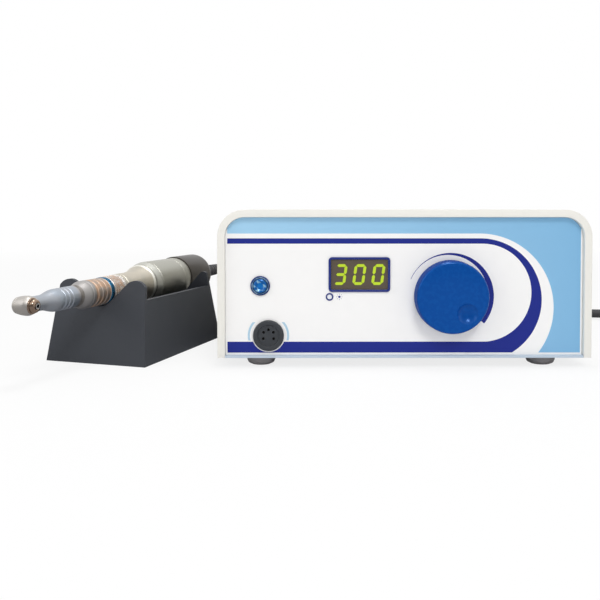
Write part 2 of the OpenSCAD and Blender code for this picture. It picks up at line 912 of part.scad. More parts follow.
module socket_insert() {
    top = flange_t - insert_back;
    color([0.2, 0.2, 0.21]) at_panel(socket_x, socket_z) difference() {
        translate([0, 0, -socket_depth])
            cylinder(r = socket_mouth_r - press_gap, h = socket_depth + top);
        at_each_contact() translate([0, 0, top - contact_sink - contact_l])
            cylinder(r = contact_r + press_gap, h = contact_sink + contact_l + 1);
    }
}

module socket_contacts() {
    top = flange_t - insert_back - contact_sink;
    color(brass) at_panel(socket_x, socket_z) at_each_contact() difference() {
        translate([0, 0, top - contact_l]) cylinder(r = contact_r, h = contact_l);
        translate([0, 0, top - contact_l + 1.5]) cylinder(r = contact_r - 0.3, h = contact_l);
    }
}

module speed_knob() {
    inside_r = knob_r - knob_wall;
    deep = knob_h - knob_face;
    hollow_r = (dimple_r * dimple_r + dimple_d * dimple_d) / (2 * dimple_d);
    color(knob_blue) at_panel(knob_x, knob_z) translate([0, 0, knob_lift]) difference() {
        rotate_extrude() polygon(concat(
            [[pot_shaft_r + press_gap, hub_start], [hub_r, hub_start], [hub_r, deep],
                [inside_r - 1, deep], [inside_r, 0], [knob_r, 0], [knob_r, 1.5]],
            [for (a = [0 : 15 : 90])
                [knob_r - knob_taper - knob_edge_r * (1 - cos(a)),
                    knob_h - knob_crown - knob_edge_r * (1 - sin(a))]],
            [[0, knob_h], [0, deep + 1], [pot_shaft_r + press_gap, deep + 1]]
        ));
        rotate(dimple_angle)
            translate([dimple_at, 0, knob_h - knob_crown / 2 - dimple_d + hollow_r])
                sphere(r = hollow_r);
    }
}

module speed_pot() {
    color(steel) at_panel(knob_x, knob_z) difference() {
        union() {
            translate([0, 0, -film_t - panel_t - pot_d]) cylinder(r = pot_r, h = pot_d);
            translate([0, 0, -film_t - panel_t])
                cylinder(r = bushing_r, h = film_t + panel_t + bushing_out);
        }
        translate([0, 0, -film_t - panel_t - pot_d + 2])
            cylinder(r = pot_shaft_r + run_gap, h = pot_d + film_t + panel_t + bushing_out);
    }
}

module pot_shaft() {
    low = -film_t - panel_t - pot_d + 2 + run_gap;
    high = knob_lift + knob_h - knob_face + 1 - run_gap;
    color(steel) at_panel(knob_x, knob_z) translate([0, 0, low])
        cylinder(r = pot_shaft_r, h = high - low);
}

module pot_nut() {
    color(steel) at_panel(knob_x, knob_z) difference() {
        cylinder(r = nut_r, h = nut_t, $fn = 6);
        translate([0, 0, -1]) cylinder(r = bushing_r + press_gap, h = nut_t + 2);
    }
}

// Control unit: boards and supply

module main_board() {
    color(board_green)
        slab([board_w, board_d, board_t], [board_x, board_y, tray_top + board_rise]);
}

module board_parts() {
    color([0.2, 0.24, 0.4]) translate([board_x, board_y, tray_top + board_rise + board_t]) {
        for (x = [-0.34, -0.17] * board_w) {
            translate([x, -0.28 * board_d, 0]) cylinder(r = can_r, h = can_h);
        }
        slab(relay_size, [0.1 * board_w, -0.3 * board_d, 0]);
        for (x = [-0.3, -0.04, 0.22] * board_w) {
            slab(header_size, [x, 0.38 * board_d, 0]);
        }
    }
}

module heat_sink() {
    top = tray_top + board_rise + board_t;
    base_w = fin_pitch * (fin_count - 1) + fin_t;
    base_t = 4;
    sink_d = 30;
    color(steel) translate([board_x + 34, board_y + 6, top]) {
        slab([base_w, sink_d, base_t], [0, 0, 0]);
        for (i = [0 : fin_count - 1]) {
            slab([fin_t, sink_d, fin_h], [(i - (fin_count - 1) / 2) * fin_pitch, 0, base_t]);
        }
    }
}

module transformer_core() {
    limb = core_w / 6;
    color([0.4, 0.4, 0.42]) translate([core_x, core_y, tray_top]) difference() {
        slab([core_w, core_d, core_h], [0, 0, 0]);
        for (x = [-1, 1] * limb * 1.5) {
            slab([limb, core_d + 2, core_h - 2 * limb], [x, 0, limb]);
        }
    }
}

module transformer_winding() {
    limb = core_w / 6;
    gap = 0.3;
    color(copper) translate([core_x, core_y, tray_top]) difference() {
        slab([4 * limb - 2 * gap, core_d + 14, core_h - 2 * limb - 2 * gap], [0, 0, limb + gap]);
        slab([2 * limb + 2 * gap, core_d + 2 * gap, core_h], [0, 0, 0]);
    }
}

// Control unit: rear panel fittings

module rocker_housing() {
    color(rubber_black) at_rear(rocker_x, rocker_z) difference() {
        union() {
            slab([housing_w, housing_h, housing_d], [0, 0, -housing_d]);
            slab([housing_w + 2 * bezel_edge, housing_h + 2 * bezel_edge, bezel_t], [0, 0, 0]);
        }
        translate([0, 0, -rocker_back])
            rod_x(rocker_r + 0.3, -rocker_w / 2 - 0.3, rocker_w / 2 + 0.3);
        slab([rocker_w + 0.6, 2 * rocker_r + 0.6, 10], [0, 0, -rocker_back]);
        translate([0, 0, -rocker_back])
            rod_x(rocker_pin_r + run_gap / 2, -rocker_w / 2 - 1.5, rocker_w / 2 + 1.5);
    }
}

module power_rocker() {
    hollow_r = 22;
    face = 4.5;
    color(rubber_black) at_rear(rocker_x, rocker_z) translate([0, 0, -rocker_back])
        rotate([rocker_swing / 2, 0, 0]) {
            difference() {
                intersection() {
                    rod_x(rocker_r, -rocker_w / 2, rocker_w / 2);
                    slab([rocker_w + 2, 2 * rocker_r, rocker_r + 2.5], [0, 0, -2.5]);
                }
                translate([0, 0, face + hollow_r])
                    rod_x(hollow_r, -rocker_w / 2 - 1, rocker_w / 2 + 1);
            }
            rod_x(rocker_pin_r, -rocker_w / 2 - 1.2, rocker_w / 2 + 1.2);
        }
}

module foot_jack() {
    wall_r = jack_bore_r + jack_wall;
    color(rubber_black) at_rear(jack_x, jack_z) rotate_extrude() polygon([
        [0, -jack_bore_d - 2], [wall_r, -jack_bore_d - 2], [wall_r, 0],
        [wall_r + jack_flange, 0], [wall_r + jack_flange, 1], [wall_r, 1.5], [jack_bore_r, 1.5],
        [jack_bore_r, 1.5 - jack_bore_d], [0, 1.5 - jack_bore_d]
    ]);
}

module mains_gland() {
    end = gland_flange_t + gland_l;
    rib = gland_l / 7;
    color(rubber_black) at_rear(gland_x, gland_z) rotate_extrude() polygon(concat(
        [[0, -gland_in], [gland_r, -gland_in], [gland_r, 0], [gland_flange_r, 0],
            [gland_flange_r, gland_flange_t - 1], [gland_flange_r - 1, gland_flange_t]],
        [for (i = [0 : 5], e = [[0.1, 1], [0.55, 1], [0.6, 0], [1.05, 0]])
            let (u = (i + e[0]) / 7)
            [gland_r * (1 - u) + gland_tip_r * u - (1 - e[1]) * 0.8,
                gland_flange_t + (i + e[0]) * rib]],
        [[gland_tip_r, end - rib * 0.7], [gland_tip_r, end], [0, end]]
    ));
}

// Cords of the control unit and of the handpiece

module mains_cord() {
    color(rubber_black) tube(mains_route, mains_cord_r, 8);
}

module mains_coil() {
    color(rubber_black) tube(mains_turns, mains_cord_r, 6);
}

// A tie round a coil's turns, half a loop from where they start
module tie(at, r, d, z) {
    pitch = d + turn_gap;
    slack = 0.5;
    near = r - pitch * (loops_each_way - 0.5) - d / 2 - slack;
    far = r - pitch * 0.5 + d / 2 + slack;
    low = z - d / 2 - slack / 2;
    high = z + pitch + d / 2 + slack;
    color("white") difference() {
        translate([at.x - tie_w / 2, at.y - far - tie_t, low - tie_t])
            cube([tie_w, far - near + 2 * tie_t, high - low + 2 * tie_t]);
        translate([at.x - tie_w, at.y - far, low]) cube([2 * tie_w, far - near, high - low]);
    }
}

module mains_tie() {
    tie(mains_coil_at, mains_coil_r, mains_cord_d, mains_coil_z);
}

// The mains plug lies on the table at the end of the coil's tail, with its two pins ahead
module mains_plug() {
    end = mains_turns[len(mains_turns) - 1];
    pin_r = 2.4;
    pin_l = 19;
    pin_pitch = 19;
    color(rubber_black) translate(end) rotate([0, 0, 180]) {
        rod_y(mains_cord_r + 2, 0, plug_neck);
        translate([0, plug_neck, 0]) across_plug() rounded(mains_plug_w, 2 * end.z, 5);
        for (x = [-1, 1] * pin_pitch / 2) {
            translate([x, 0, 0]) rod_y(pin_r, mains_plug_l - 1, mains_plug_l + pin_l);
        }
    }
}

module across_plug() {
    block_l = mains_plug_l - plug_neck;
    translate([0, block_l, 0]) rotate([90, 0, 0]) linear_extrude(block_l) children();
}

module hand_cord() {
    color(rubber_black) tube(hand_route, hand_cord_r, 8);
}

module hand_coil() {
    color(rubber_black) tube(hand_turns, hand_cord_r, 6);
}

module hand_tie() {
    tie(hand_coil_at, hand_coil_r, hand_cord_d, hand_coil_z);
}

// The round motor plug lies at the end of the coil's tail
module motor_plug() {
    end = hand_turns[len(hand_turns) - 1];
    grip_r = motor_plug_r - 1.5;
    boot_l = 12;
    ring_l = 14;
    spigot = [6.6, 8];
    ring_end = motor_plug_l - spigot[1];
    color(rubber_black) translate(end) rotate([0, 0, -90]) turned([
        [0, 0], [hand_cord_r + 1.2, 0], [hand_cord_r + 2.5, boot_l], [grip_r - 1, boot_l],
        [grip_r, boot_l + 2], [grip_r, ring_end - ring_l], [motor_plug_r, ring_end - ring_l],
        [motor_plug_r, ring_end], [spigot[0], ring_end], [spigot[0], motor_plug_l],
        [0, motor_plug_l]
    ]);
}

// Stand

// The stand's walls as two crossed outlines, drawn in by an inset
module leaning_block(inset, low, high) {
    half = stand_w / 2 - inset / cos(lean_side);
    front = -stand_l / 2 + inset / cos(lean_front);
    rear = stand_l / 2 - inset / cos(lean_rear);
    intersection() {
        along_depth(-stand_l, stand_l) polygon([
            [-half + low * side_tan, low], [half - low * side_tan, low],
            [half - high * side_tan, high], [-half + high * side_tan, high]
        ]);
        across_width(2 * stand_w) polygon([
            [front + low * front_tan, low], [rear - low * rear_tan, low],
            [rear - high * rear_tan, high], [front + high * front_tan, high]
        ]);
    }
}

// What is cut from above out of an end wall: a round-bottomed notch whose flanks rise at 45 degrees
// to two horns, each rounded from its flank to the stand's side
module above_end_wall(notch_r, horn_h) {
    out_x = stand_w / 2 - stand_side_h * side_tan + horn_over;
    horn_r = (out_x - horn_h + hand_z) / sqrt(2) - notch_r;
    sky = horn_tall + 5;
    half = concat(
        [for (a = [-84 : 6 : -45]) [notch_r * cos(a), hand_z + notch_r * sin(a)]],
        [for (a = [135 : -6 : 0])
            [out_x - horn_r + horn_r * cos(a), horn_h - horn_r + horn_r * sin(a)]],
        [[stand_w, horn_h - horn_r], [stand_w, sky]]
    );
    polygon(concat(
        [for (i = [len(half) - 1 : -1 : 0]) [-half[i].x, half[i].y]],
        [[0, hand_z - notch_r]],
        half
    ));
}

module stand_shell() {
    front = -stand_l / 2 + stand_wall / cos(lean_front);
    rear = stand_l / 2 - stand_wall / cos(lean_rear);
    high = horn_tall + 1;
    color(stand_black) on_stand() difference() {
        leaning_block(0, 0, horn_tall);
        leaning_block(stand_wall, stand_floor, horn_tall + 1);
        across_width(2 * stand_w) polygon([
            [front + stand_side_h * front_tan, stand_side_h],
            [rear - stand_side_h * rear_tan, stand_side_h],
            [rear - high * rear_tan, high], [front + high * front_tan, high]
        ]);
        along_depth(-stand_l, front + high * front_tan + cut_over)
            above_end_wall(front_notch_r, horn_front_h);
        along_depth(rear - high * rear_tan - cut_over, stand_l)
            above_end_wall(rear_notch_r, horn_rear_h);
    }
}

// Handpiece

module motor_housing() {
    end = y_tail - cap_wall - boot_flange - 2;
    shoulder = y_rings + 3;
    color(warm_grey) on_hand() turned(concat(
        [[tube_r + press_gap, y_cone], [cone_r, y_cone]],
        [for (t = [0 : 0.2 : 1])
            [cone_r + (cone_wide_r - cone_r) * t * t, y_rings - cone_flare * (1 - t)]],
        [[land_r, y_rings + 0.8], [land_r, y_rings + 4], [motor_r - 0.2, y_rings + 8],
            [motor_r - 0.2, y_rings + 8.6], [motor_r - 0.7, y_rings + 8.9],
            [motor_r - 0.7, y_body - 0.3], [motor_r, y_body], [motor_r, y_cap - part_gap],
            [seat_r, y_cap - part_gap], [seat_r, end], [motor_bore_r, end],
            [motor_bore_r, shoulder], [tube_r + press_gap, shoulder]]
    ));
}

module nose_tube() {
    front = y_joint - spigot_l;
    step = y_dome + 2;
    end = y_rings + 3;
    color(steel) on_hand() turned([
        [collet_r + run_gap, front], [spigot_r, front], [spigot_r, step], [tube_r, step],
        [tube_r, end], [tube_bore_r, end], [tube_bore_r, step + tube_seat],
        [collet_r + run_gap, step + tube_seat]
    ]);
}

module nose_sleeve() {
    front = y_joint + part_gap;
    step = y_dome + 2;
    pitch = ribs_l / rib_count;
    dome_rise = nose_r - dome_start_r;
    dome_run = 0.8 * dome_l;
    color(warm_grey) on_hand() turned(concat(
        [[spigot_r + press_gap, front], [band_r, front], [band_r, y_dome]],
        [for (a = [0 : 15 : 90])
            [dome_start_r + dome_rise * sin(a), y_dome + dome_run * (1 - cos(a))]],
        [[nose_r, y_ribs]],
        [for (i = [0 : rib_count - 1], e = [[0.55, 0], [0.7, 0.5], [0.85, 0.5], [0.97, 0]])
            [nose_r - e[1], y_ribs + (i + e[0]) * pitch]],
        [[nose_r, y_marker], [tube_r + press_gap, y_marker], [tube_r + press_gap, step],
            [spigot_r + press_gap, step]]
    ));
}

module marker_ring() {
    color([0.1, 0.45, 0.7]) on_hand() turned([
        [tube_r + press_gap, y_marker], [marker_r - 0.3, y_marker], [marker_r, y_marker + 0.3],
        [marker_r, y_chuck - 0.3], [marker_r - 0.3, y_chuck], [tube_r + press_gap, y_chuck]
    ]);
}

module chuck_ring() {
    front = y_chuck + part_gap;
    end = y_cone - part_gap;
    waist = chuck_r - 0.6;
    color(steel) on_hand() turned([
        [tube_r + run_gap, front], [chuck_r - 0.4, front], [chuck_r, front + 0.4],
        [chuck_r, front + 3.6], [waist, front + 4], [waist, front + 4.8], [chuck_r, front + 5.2],
        [chuck_r, end - 3], [waist, end - 2.7], [waist, end - 2.3], [chuck_r, end - 2],
        [chuck_r, end], [tube_r + run_gap, end]
    ]);
}

module rear_cap() {
    hole = boot_r + boot_hole_gap;
    color(rubber_black) on_hand() turned(concat(
        [[seat_r + press_gap, y_cap], [cap_r - 0.4, y_cap], [cap_r, y_cap + 0.4]],
        [for (a = [0 : 15 : 90])
            [cap_r - cap_round + cap_round * cos(a), y_tail - cap_round + cap_round * sin(a)]],
        [[hole, y_tail], [hole, y_tail - cap_wall], [seat_r + press_gap, y_tail - cap_wall]]
    ));
}

module cord_boot() {
    inside = y_tail - cap_wall;
    rib = boot_l / 9;
    color(rubber_black) on_hand() turned(concat(
        [[0, inside - boot_flange], [boot_r + 2, inside - boot_flange], [boot_r + 2, inside],
            [boot_r, inside], [boot_r, y_tail + rib]],
        [for (i = [1 : 6], e = [[0.1, 0.7], [0.45, 0.7], [0.5, 0], [1, 0]])
            let (u = (i + e[0]) / 9)
            [boot_r * (1 - u) + boot_tip_r * u - e[1], y_tail + (i + e[0]) * rib]],
        [[boot_tip_r, y_boot], [0, y_boot]]
    ));
}

module motor_magnets() {
    color([0.3, 0.3, 0.32]) on_hand() difference() {
        rod_y(motor_bore_r - press_gap, magnet_from, magnet_to);
        rod_y(magnet_in_r, magnet_from - 1, magnet_to + 1);
        translate([0, (magnet_from + magnet_to) / 2, 0])
            cube([3, magnet_to - magnet_from + 2, 3 * motor_bore_r], center = true);
    }
}

// The plate behind the armature, with the two carbon brushes that reach the commutator
module brush_plate() {
    near = commutator_r + brush_gap;
    color([0.25, 0.2, 0.16]) on_hand() {
        difference() {
            rod_y(motor_bore_r - press_gap, plate_from, plate_from + plate_t);
            rod_y(bearing_r + press_gap, plate_from - 1, plate_from + plate_t + 1);
        }
        for (x = [-1, 1] * (near + motor_bore_r - 1) / 2) {
            translate([x, 0, 0])
                slab([motor_bore_r - 1 - near, plate_from - commutator_from - 1, brush_w],
                    [0, (plate_from + commutator_from + 1) / 2, -brush_w / 2]);
        }
    }
}

module motor_bearings() {
    color(steel) on_hand() for (y = [front_bearing_y, middle_bearing_y, plate_from]) {
        difference() {
            rod_y(bearing_r - press_gap, y, y + bearing_l);
            rod_y(shaft_r + press_gap, y - 1, y + bearing_l + 1);
        }
    }
}

module armature() {
    slots = 5;
    slot_w = 1.4;
    color(copper) on_hand() difference() {
        union() {
            rod_y(core_r, magnet_from + 3, magnet_to - 3);
            rod_y(winding_r, magnet_from + 3 - winding_l, magnet_to - 3 + winding_l);
            rod_y(commutator_r, magnet_to - 3 + winding_l, commutator_from + commutator_l);
        }
        rod_y(shaft_r + press_gap, magnet_from - 10, commutator_from + commutator_l + 1);
        for (i = [0 : slots - 1]) {
            rotate([0, 360 * (i + 0.4) / slots, 0])
                translate([0, (magnet_from + magnet_to) / 2, core_r])
                    slab([slot_w, magnet_to - magnet_from, 2], [0, 0, -1]);
        }
    }
}

module motor_shaft() {
    front = y_joint - spigot_l + 3;
    end = plate_from + plate_t + 2;
    color(steel) on_hand() difference() {
        union() {
            rod_y(collet_r, front, front + collet_l - 4);
            rod_y(shaft_r, front + 1, end);
        }
        rod_y(collet_bore_r, front - 1, front + collet_l - 8);
    }
}

// Right-angle head

module attachment_sheath() {
    front = y_head + 1;
    bush_from = y_head + gear_bore_l;
    bush_to = bush_from + bearing_bore_l;
    groove = collar_l / 7.8;
    socket_from = y_joint - spigot_l - 1.5;
    color(warm_grey) on_hand() difference() {
        turned(concat(
            [[gear_bore_r, front], [neck_r, front], [neck_r, y_neck - 3], [neck_r + 0.2, y_neck],
                [sheath_r - 0.3, y_sheath - 2], [sheath_r, y_sheath], [sheath_r, y_collar]],
            [for (i = [0 : 2], e = [[0.6, 0], [0.8, 1], [1.2, 1], [1.4, 0]])
                [sheath_r + 0.1 - groove_d * e[1], y_collar + (1.6 * i + e[0]) * groove]],
            [[sheath_r + 0.1, y_joint - 0.5], [sheath_r - 0.4, y_joint],
                [spigot_r + run_gap, y_joint], [spigot_r + run_gap, socket_from],
                [3, socket_from], [3, bush_to], [drive_r + run_gap, bush_to],
                [drive_r + run_gap, bush_from], [gear_bore_r, bush_from]]
        ));
        translate([0, y_head, 0]) head_form(press_gap);
    }
}

// Radius of the head at a place along its axis: widest near the front, less towards both ends
function head_reach(x) = head_r - (x < head_wide
    ? back_drop * pow((head_wide - x) / (head_wide + head_end), 2)
    : front_drop * pow((x - head_wide) / (head_front - head_wide), 2));

function head_line(from, to, grow) =
    [for (i = [0 : 6]) let (x = from + (to - from) * i / 6) [head_reach(x) + grow, x]];

// The whole head as one solid, wider by a margin
module head_form(grow) {
    turned_x(concat(
        [[0, -head_end]], head_line(-head_end, head_wide, grow),
        head_line(head_wide + 0.6, head_front, grow), [[0, head_front]]
    ));
}

module head_shell() {
    color(warm_grey) on_head() difference() {
        turned_x(concat(
            [[0, -head_back]], head_line(-head_back, head_wide, 0),
            head_line(head_wide + 0.6, head_front, 0), [[0, head_front]]
        ));
        rod_x(cavity_r, -head_back - 1, cavity_front);
        rod_x(bush_spigot_r + press_gap, 0, head_front + 1);
        rod_y(gear_bore_r, 0, head_r + 1);
    }
}

module head_cap() {
    bore = spindle_r + run_gap / 2;
    end_r = head_reach(-head_end);
    color(warm_grey) on_head() turned_x(concat(
        [[0, -head_end], [end_r - head_edge, -head_end], [end_r - 0.4, 0.4 - head_end]],
        head_line(head_edge - head_end, -head_back, 0),
        [[cavity_r, -head_back], [cavity_r, -gear_room], [bore, -gear_room],
            [bore, -spindle_tail - run_gap], [0, -spindle_tail - run_gap]]
    ));
}

module head_bush() {
    bore = spindle_r + run_gap;
    out = head_front + bush_out;
    color(brass) on_head() turned_x([
        [bore, cavity_front - 0.6], [bush_spigot_r, cavity_front - 0.6],
        [bush_spigot_r, head_front], [bush_r, head_front], [bush_r, out - 1.3],
        [bush_r - 0.5, out - 0.5], [bush_r - 1.3, out], [bore, out]
    ]);
}

// The drive shaft runs from the collet to its bevel pinion in the head
module drive_shaft() {
    step = y_collar - 3;
    end = y_joint - spigot_l + 3 + collet_l - 10;
    color(steel) on_hand() turned([
        [0, y_head + gear_from], [gear_from - gear_gap, y_head + gear_from],
        [gear_to - gear_gap, y_head + gear_to], [drive_r, y_head + gear_to + 0.6],
        [drive_r, step], [shank_r, step], [shank_r, end], [0, end]
    ]);
}

module head_spindle() {
    tip = head_front + bush_out + spindle_out;
    color(steel) on_head() difference() {
        turned_x([
            [0, -spindle_tail], [spindle_r, -spindle_tail], [spindle_r, -gear_to - 0.6],
            [gear_to - gear_gap, -gear_to], [gear_from - gear_gap, -gear_from],
            [spindle_r, -gear_from], [spindle_r, tip], [0, tip]
        ]);
        rod_x(bur_bore_r, tip - bur_bore_l, tip + 1);
    }
}

case_cover();
base_tray();
front_panel();
panel_film();
rear_panel();
rubber_feet();
foot_screws();
cover_screws();
display_frame_ring();
display_module();
display_digits();
display_board();
run_lamp();
lamp_ring();
select_ring();
select_button();
select_switch();
motor_socket();
socket_insert();
socket_contacts();
speed_knob();
speed_pot();
pot_shaft();
pot_nut();
main_board();
board_parts();
heat_sink();
transformer_core();
transformer_winding();
rocker_housing();
power_rocker();
foot_jack();
mains_gland();
mains_cord();
mains_coil();
mains_tie();
mains_plug();
stand_shell();
motor_housing();
nose_tube();
nose_sleeve();
marker_ring();
chuck_ring();
rear_cap();
cord_boot();
motor_magnets();
brush_plate();
motor_bearings();
armature();
motor_shaft();
hand_cord();
hand_coil();
hand_tie();
motor_plug();
attachment_sheath();
head_shell();
head_cap();
head_bush();
drive_shaft();
head_spindle();
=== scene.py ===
import math
import bmesh
import bpy
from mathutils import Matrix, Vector


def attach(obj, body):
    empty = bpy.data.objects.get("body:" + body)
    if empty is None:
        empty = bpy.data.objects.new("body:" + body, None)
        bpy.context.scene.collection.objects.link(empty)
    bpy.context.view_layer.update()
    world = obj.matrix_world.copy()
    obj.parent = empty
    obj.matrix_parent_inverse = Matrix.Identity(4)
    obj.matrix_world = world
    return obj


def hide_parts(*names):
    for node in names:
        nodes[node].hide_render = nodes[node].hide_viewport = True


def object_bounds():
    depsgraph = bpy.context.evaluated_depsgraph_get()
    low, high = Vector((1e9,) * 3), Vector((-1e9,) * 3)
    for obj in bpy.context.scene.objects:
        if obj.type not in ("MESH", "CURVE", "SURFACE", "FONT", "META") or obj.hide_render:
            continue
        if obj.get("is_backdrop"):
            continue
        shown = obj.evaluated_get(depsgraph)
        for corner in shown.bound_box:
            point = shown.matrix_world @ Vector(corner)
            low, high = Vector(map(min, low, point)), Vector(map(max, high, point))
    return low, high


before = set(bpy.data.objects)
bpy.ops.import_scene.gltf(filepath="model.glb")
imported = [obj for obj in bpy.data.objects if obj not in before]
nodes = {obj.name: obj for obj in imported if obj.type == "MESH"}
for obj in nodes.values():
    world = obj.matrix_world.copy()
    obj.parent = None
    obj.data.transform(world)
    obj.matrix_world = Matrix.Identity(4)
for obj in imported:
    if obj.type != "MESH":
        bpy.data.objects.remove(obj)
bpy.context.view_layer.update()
slots = {name: node.data.materials[0].name for name, node in nodes.items()}
mm = 0.001
print("frame loaded:", len(nodes), "nodes")

# camera, at the photo's viewing point
cameraView = {"place": (-0.0715, -0.58234, 0.1071), "tilt": 88.5, "turn": -0.195, "lens": 44.01,
              "shiftY": -0.1213, "sensor": 36, "near": 0.01, "far": 60}
bpy.ops.object.camera_add(
    location=cameraView["place"],
    rotation=(math.radians(cameraView["tilt"]), 0, math.radians(cameraView["turn"])),
)
camera = bpy.context.object
camera.name = "viewCamera"
camera.data.sensor_width = cameraView["sensor"]
camera.data.lens = cameraView["lens"]
camera.data.shift_y = cameraView["shiftY"]
camera.data.clip_start = cameraView["near"]
camera.data.clip_end = cameraView["far"]
bpy.context.scene.camera = camera
bpy.context.scene.view_settings.view_transform = "Standard"
print("camera set")


# small tools for working by hand
def metres(values):
    return [value * mm for value in values]


def clearSelection():
    if bpy.context.mode != "OBJECT":
        bpy.ops.object.mode_set(mode="OBJECT")
    bpy.ops.object.select_all(action="DESELECT")


def takeUp(piece):
    clearSelection()
    piece.select_set(True)
    bpy.context.view_layer.objects.active = piece


def selectAll():
    bpy.ops.mesh.select_all(action="SELECT")


def openEdit(piece):
    takeUp(piece)
    bpy.ops.object.mode_set(mode="EDIT")
    selectAll()


def closeEdit():
    bpy.ops.object.mode_set(mode="OBJECT")


def pick(piece, kind, test):
    # in edit mode: selects the points, edges or faces that pass a test
    bpy.ops.mesh.select_mode(type=kind)
    bpy.ops.mesh.select_all(action="DESELECT")
    mesh = bmesh.from_edit_mesh(piece.data)
    for part in {"VERT": mesh.verts, "EDGE": mesh.edges, "FACE": mesh.faces}[kind]:
        part.select_set(test(part))
    bmesh.update_edit_mesh(piece.data)


def applyPlace():
    bpy.ops.object.transform_apply(location=True, rotation=True, scale=True)


def applyModifier(piece, kind, **values):
    takeUp(piece)
    modifier = piece.modifiers.new(kind.lower(), kind)
    for key, value in values.items():
        setattr(modifier, key, value)
    bpy.ops.object.modifier_apply(modifier=modifier.name)


def softenEdges(piece, width, segments=3, angle=35):
    applyModifier(piece, "BEVEL", width=width * mm, segments=segments, limit_method="ANGLE",
                  angle_limit=math.radians(angle))


def smoothPiece(piece, angle=32):
    takeUp(piece)
    bpy.ops.object.shade_smooth_by_angle(angle=math.radians(angle))
    return piece


def cutAway(piece, cutter):
    applyModifier(piece, "BOOLEAN", operation="DIFFERENCE", solver="EXACT", object=cutter)
    bpy.data.objects.remove(cutter)


def addBlock(size, at=(0, 0, 0), turn=0):
    clearSelection()
    bpy.ops.mesh.primitive_cube_add(size=1, location=metres(at), rotation=(0, 0, turn))
    bpy.ops.transform.resize(value=metres(size))
    return bpy.context.object


def joinPieces(pieces):
    clearSelection()
    for piece in pieces:
        piece.select_set(True)
    bpy.context.view_layer.objects.active = pieces[0]
    bpy.ops.object.join()
    return pieces[0]


def placePiece(piece, at, turn):
    takeUp(piece)
    piece.location = metres(at)
    piece.rotation_euler = [math.radians(value) for value in turn]
    applyPlace()
    return piece


def copyPiece(source):
    piece = source.copy()
    piece.data = source.data.copy()
    bpy.context.scene.collection.objects.link(piece)
    return piece


def copyTo(first, name, places, turn=(0, 0, 0)):
    copies = [placePiece(copyPiece(first), place, turn) for place in places]
    bpy.data.objects.remove(first)
    copies[0].name = copies[0].data.name = name
    return joinPieces(copies)


def copyNode(nodeName, pieceName):
    # a CAD node's own mesh, merged and with its flat faces made whole
    clearSelection()
    piece = copyPiece(nodes[nodeName])
    piece.name = piece.data.name = pieceName
    piece.parent = None
    openEdit(piece)
    bpy.ops.mesh.customdata_custom_splitnormals_clear()
    bpy.ops.mesh.remove_doubles(threshold=2e-6)
    bpy.ops.mesh.dissolve_limited(angle_limit=math.radians(1))
    closeEdit()
    return piece


# corners of an outline: those nearly straight stay, and a curve takes a share of the sides at most
cornerRule = {"straight": 86, "share": 0.45, "steps": 4}


def roundCorners(outline, soft, closed):
    # each corner becomes a short curve; a third number in a point is its own radius
    line = []
    count = len(outline)
    for i, point in enumerate(outline):
        radius = point[2] if len(point) > 2 else soft
        here = Vector(point[:2])
        if radius == 0 or not closed and i in (0, count - 1):
            line.append(here)
            continue
        back = Vector(outline[i - 1][:2]) - here
        ahead = Vector(outline[(i + 1) % count][:2]) - here
        half = back.angle(ahead) / 2
        if half > math.radians(cornerRule["straight"]):
            line.append(here)
            continue
        most = cornerRule["share"] * min(back.length, ahead.length)
        run = min(radius / math.tan(half), most)
        first = here + back.normalized() * run
        last = here + ahead.normalized() * run
        for step in range(cornerRule["steps"] + 1):
            t = step / cornerRule["steps"]
            line.append(first * (1 - t) ** 2 + here * 2 * t * (1 - t) + last * t * t)
    return line


def turnPiece(name, outline, soft=0.25, steps=96):
    # an outline of radius and height, drawn point by point and spun round Z; one from the axis stays open
    closed = outline[0][0] > 0
    line = roundCorners(outline, soft, closed)
    clearSelection()
    bpy.ops.mesh.primitive_circle_add(vertices=3, radius=mm)
    piece = bpy.context.object
    piece.name = piece.data.name = name
    bpy.ops.object.mode_set(mode="EDIT")
    bpy.ops.mesh.select_mode(type="VERT")
    selectAll()
    bpy.ops.mesh.merge(type="CENTER")
    bpy.ops.transform.translate(value=(line[0].x * mm, 0, line[0].y * mm))
    if closed:
        line = line + line[:1]
    for here, there in zip(line, line[1:]):
        move = (there - here) * mm
        bpy.ops.mesh.extrude_region_move(TRANSFORM_OT_translate={"value": (move.x, 0, move.y)})
    selectAll()
    bpy.ops.mesh.spin(steps=steps, angle=math.tau, center=(0, 0, 0), axis=(0, 0, 1))
    selectAll()
    bpy.ops.mesh.remove_doubles(threshold=2e-6)
    bpy.ops.mesh.normals_make_consistent(inside=False)
    closeEdit()
    return piece


# parts of outlines
def easeLine(start, stop, low, high, steps=14):
    # a radius that changes softly between two heights
    line = []
    for i in range(steps + 1):
        t = i / steps
        line.append((start + (stop - start) * (1 - math.cos(math.pi * t)) / 2, low + (high - low) * t, 0))
    return line


def arcLine(radius, height, wide, tall, steps):
    # a quarter round, from its side to its top
    turns = [math.radians(i * 90 / steps) for i in range(steps + 1)]
    return [(radius + wide * math.cos(turn), height + tall * math.sin(turn), 0) for turn in turns]


def ribLine(low, high, wide, tip, count, ribs, shares, *soft):
    # a ribbed length that may narrow: each share of a rib has its depth
    line = []
    for i in ribs:
        for share, deep in shares:
            along = (i + share) / count
            line.append((wide + (tip - wide) * along - deep, low + (high - low) * along, *soft))
    return line


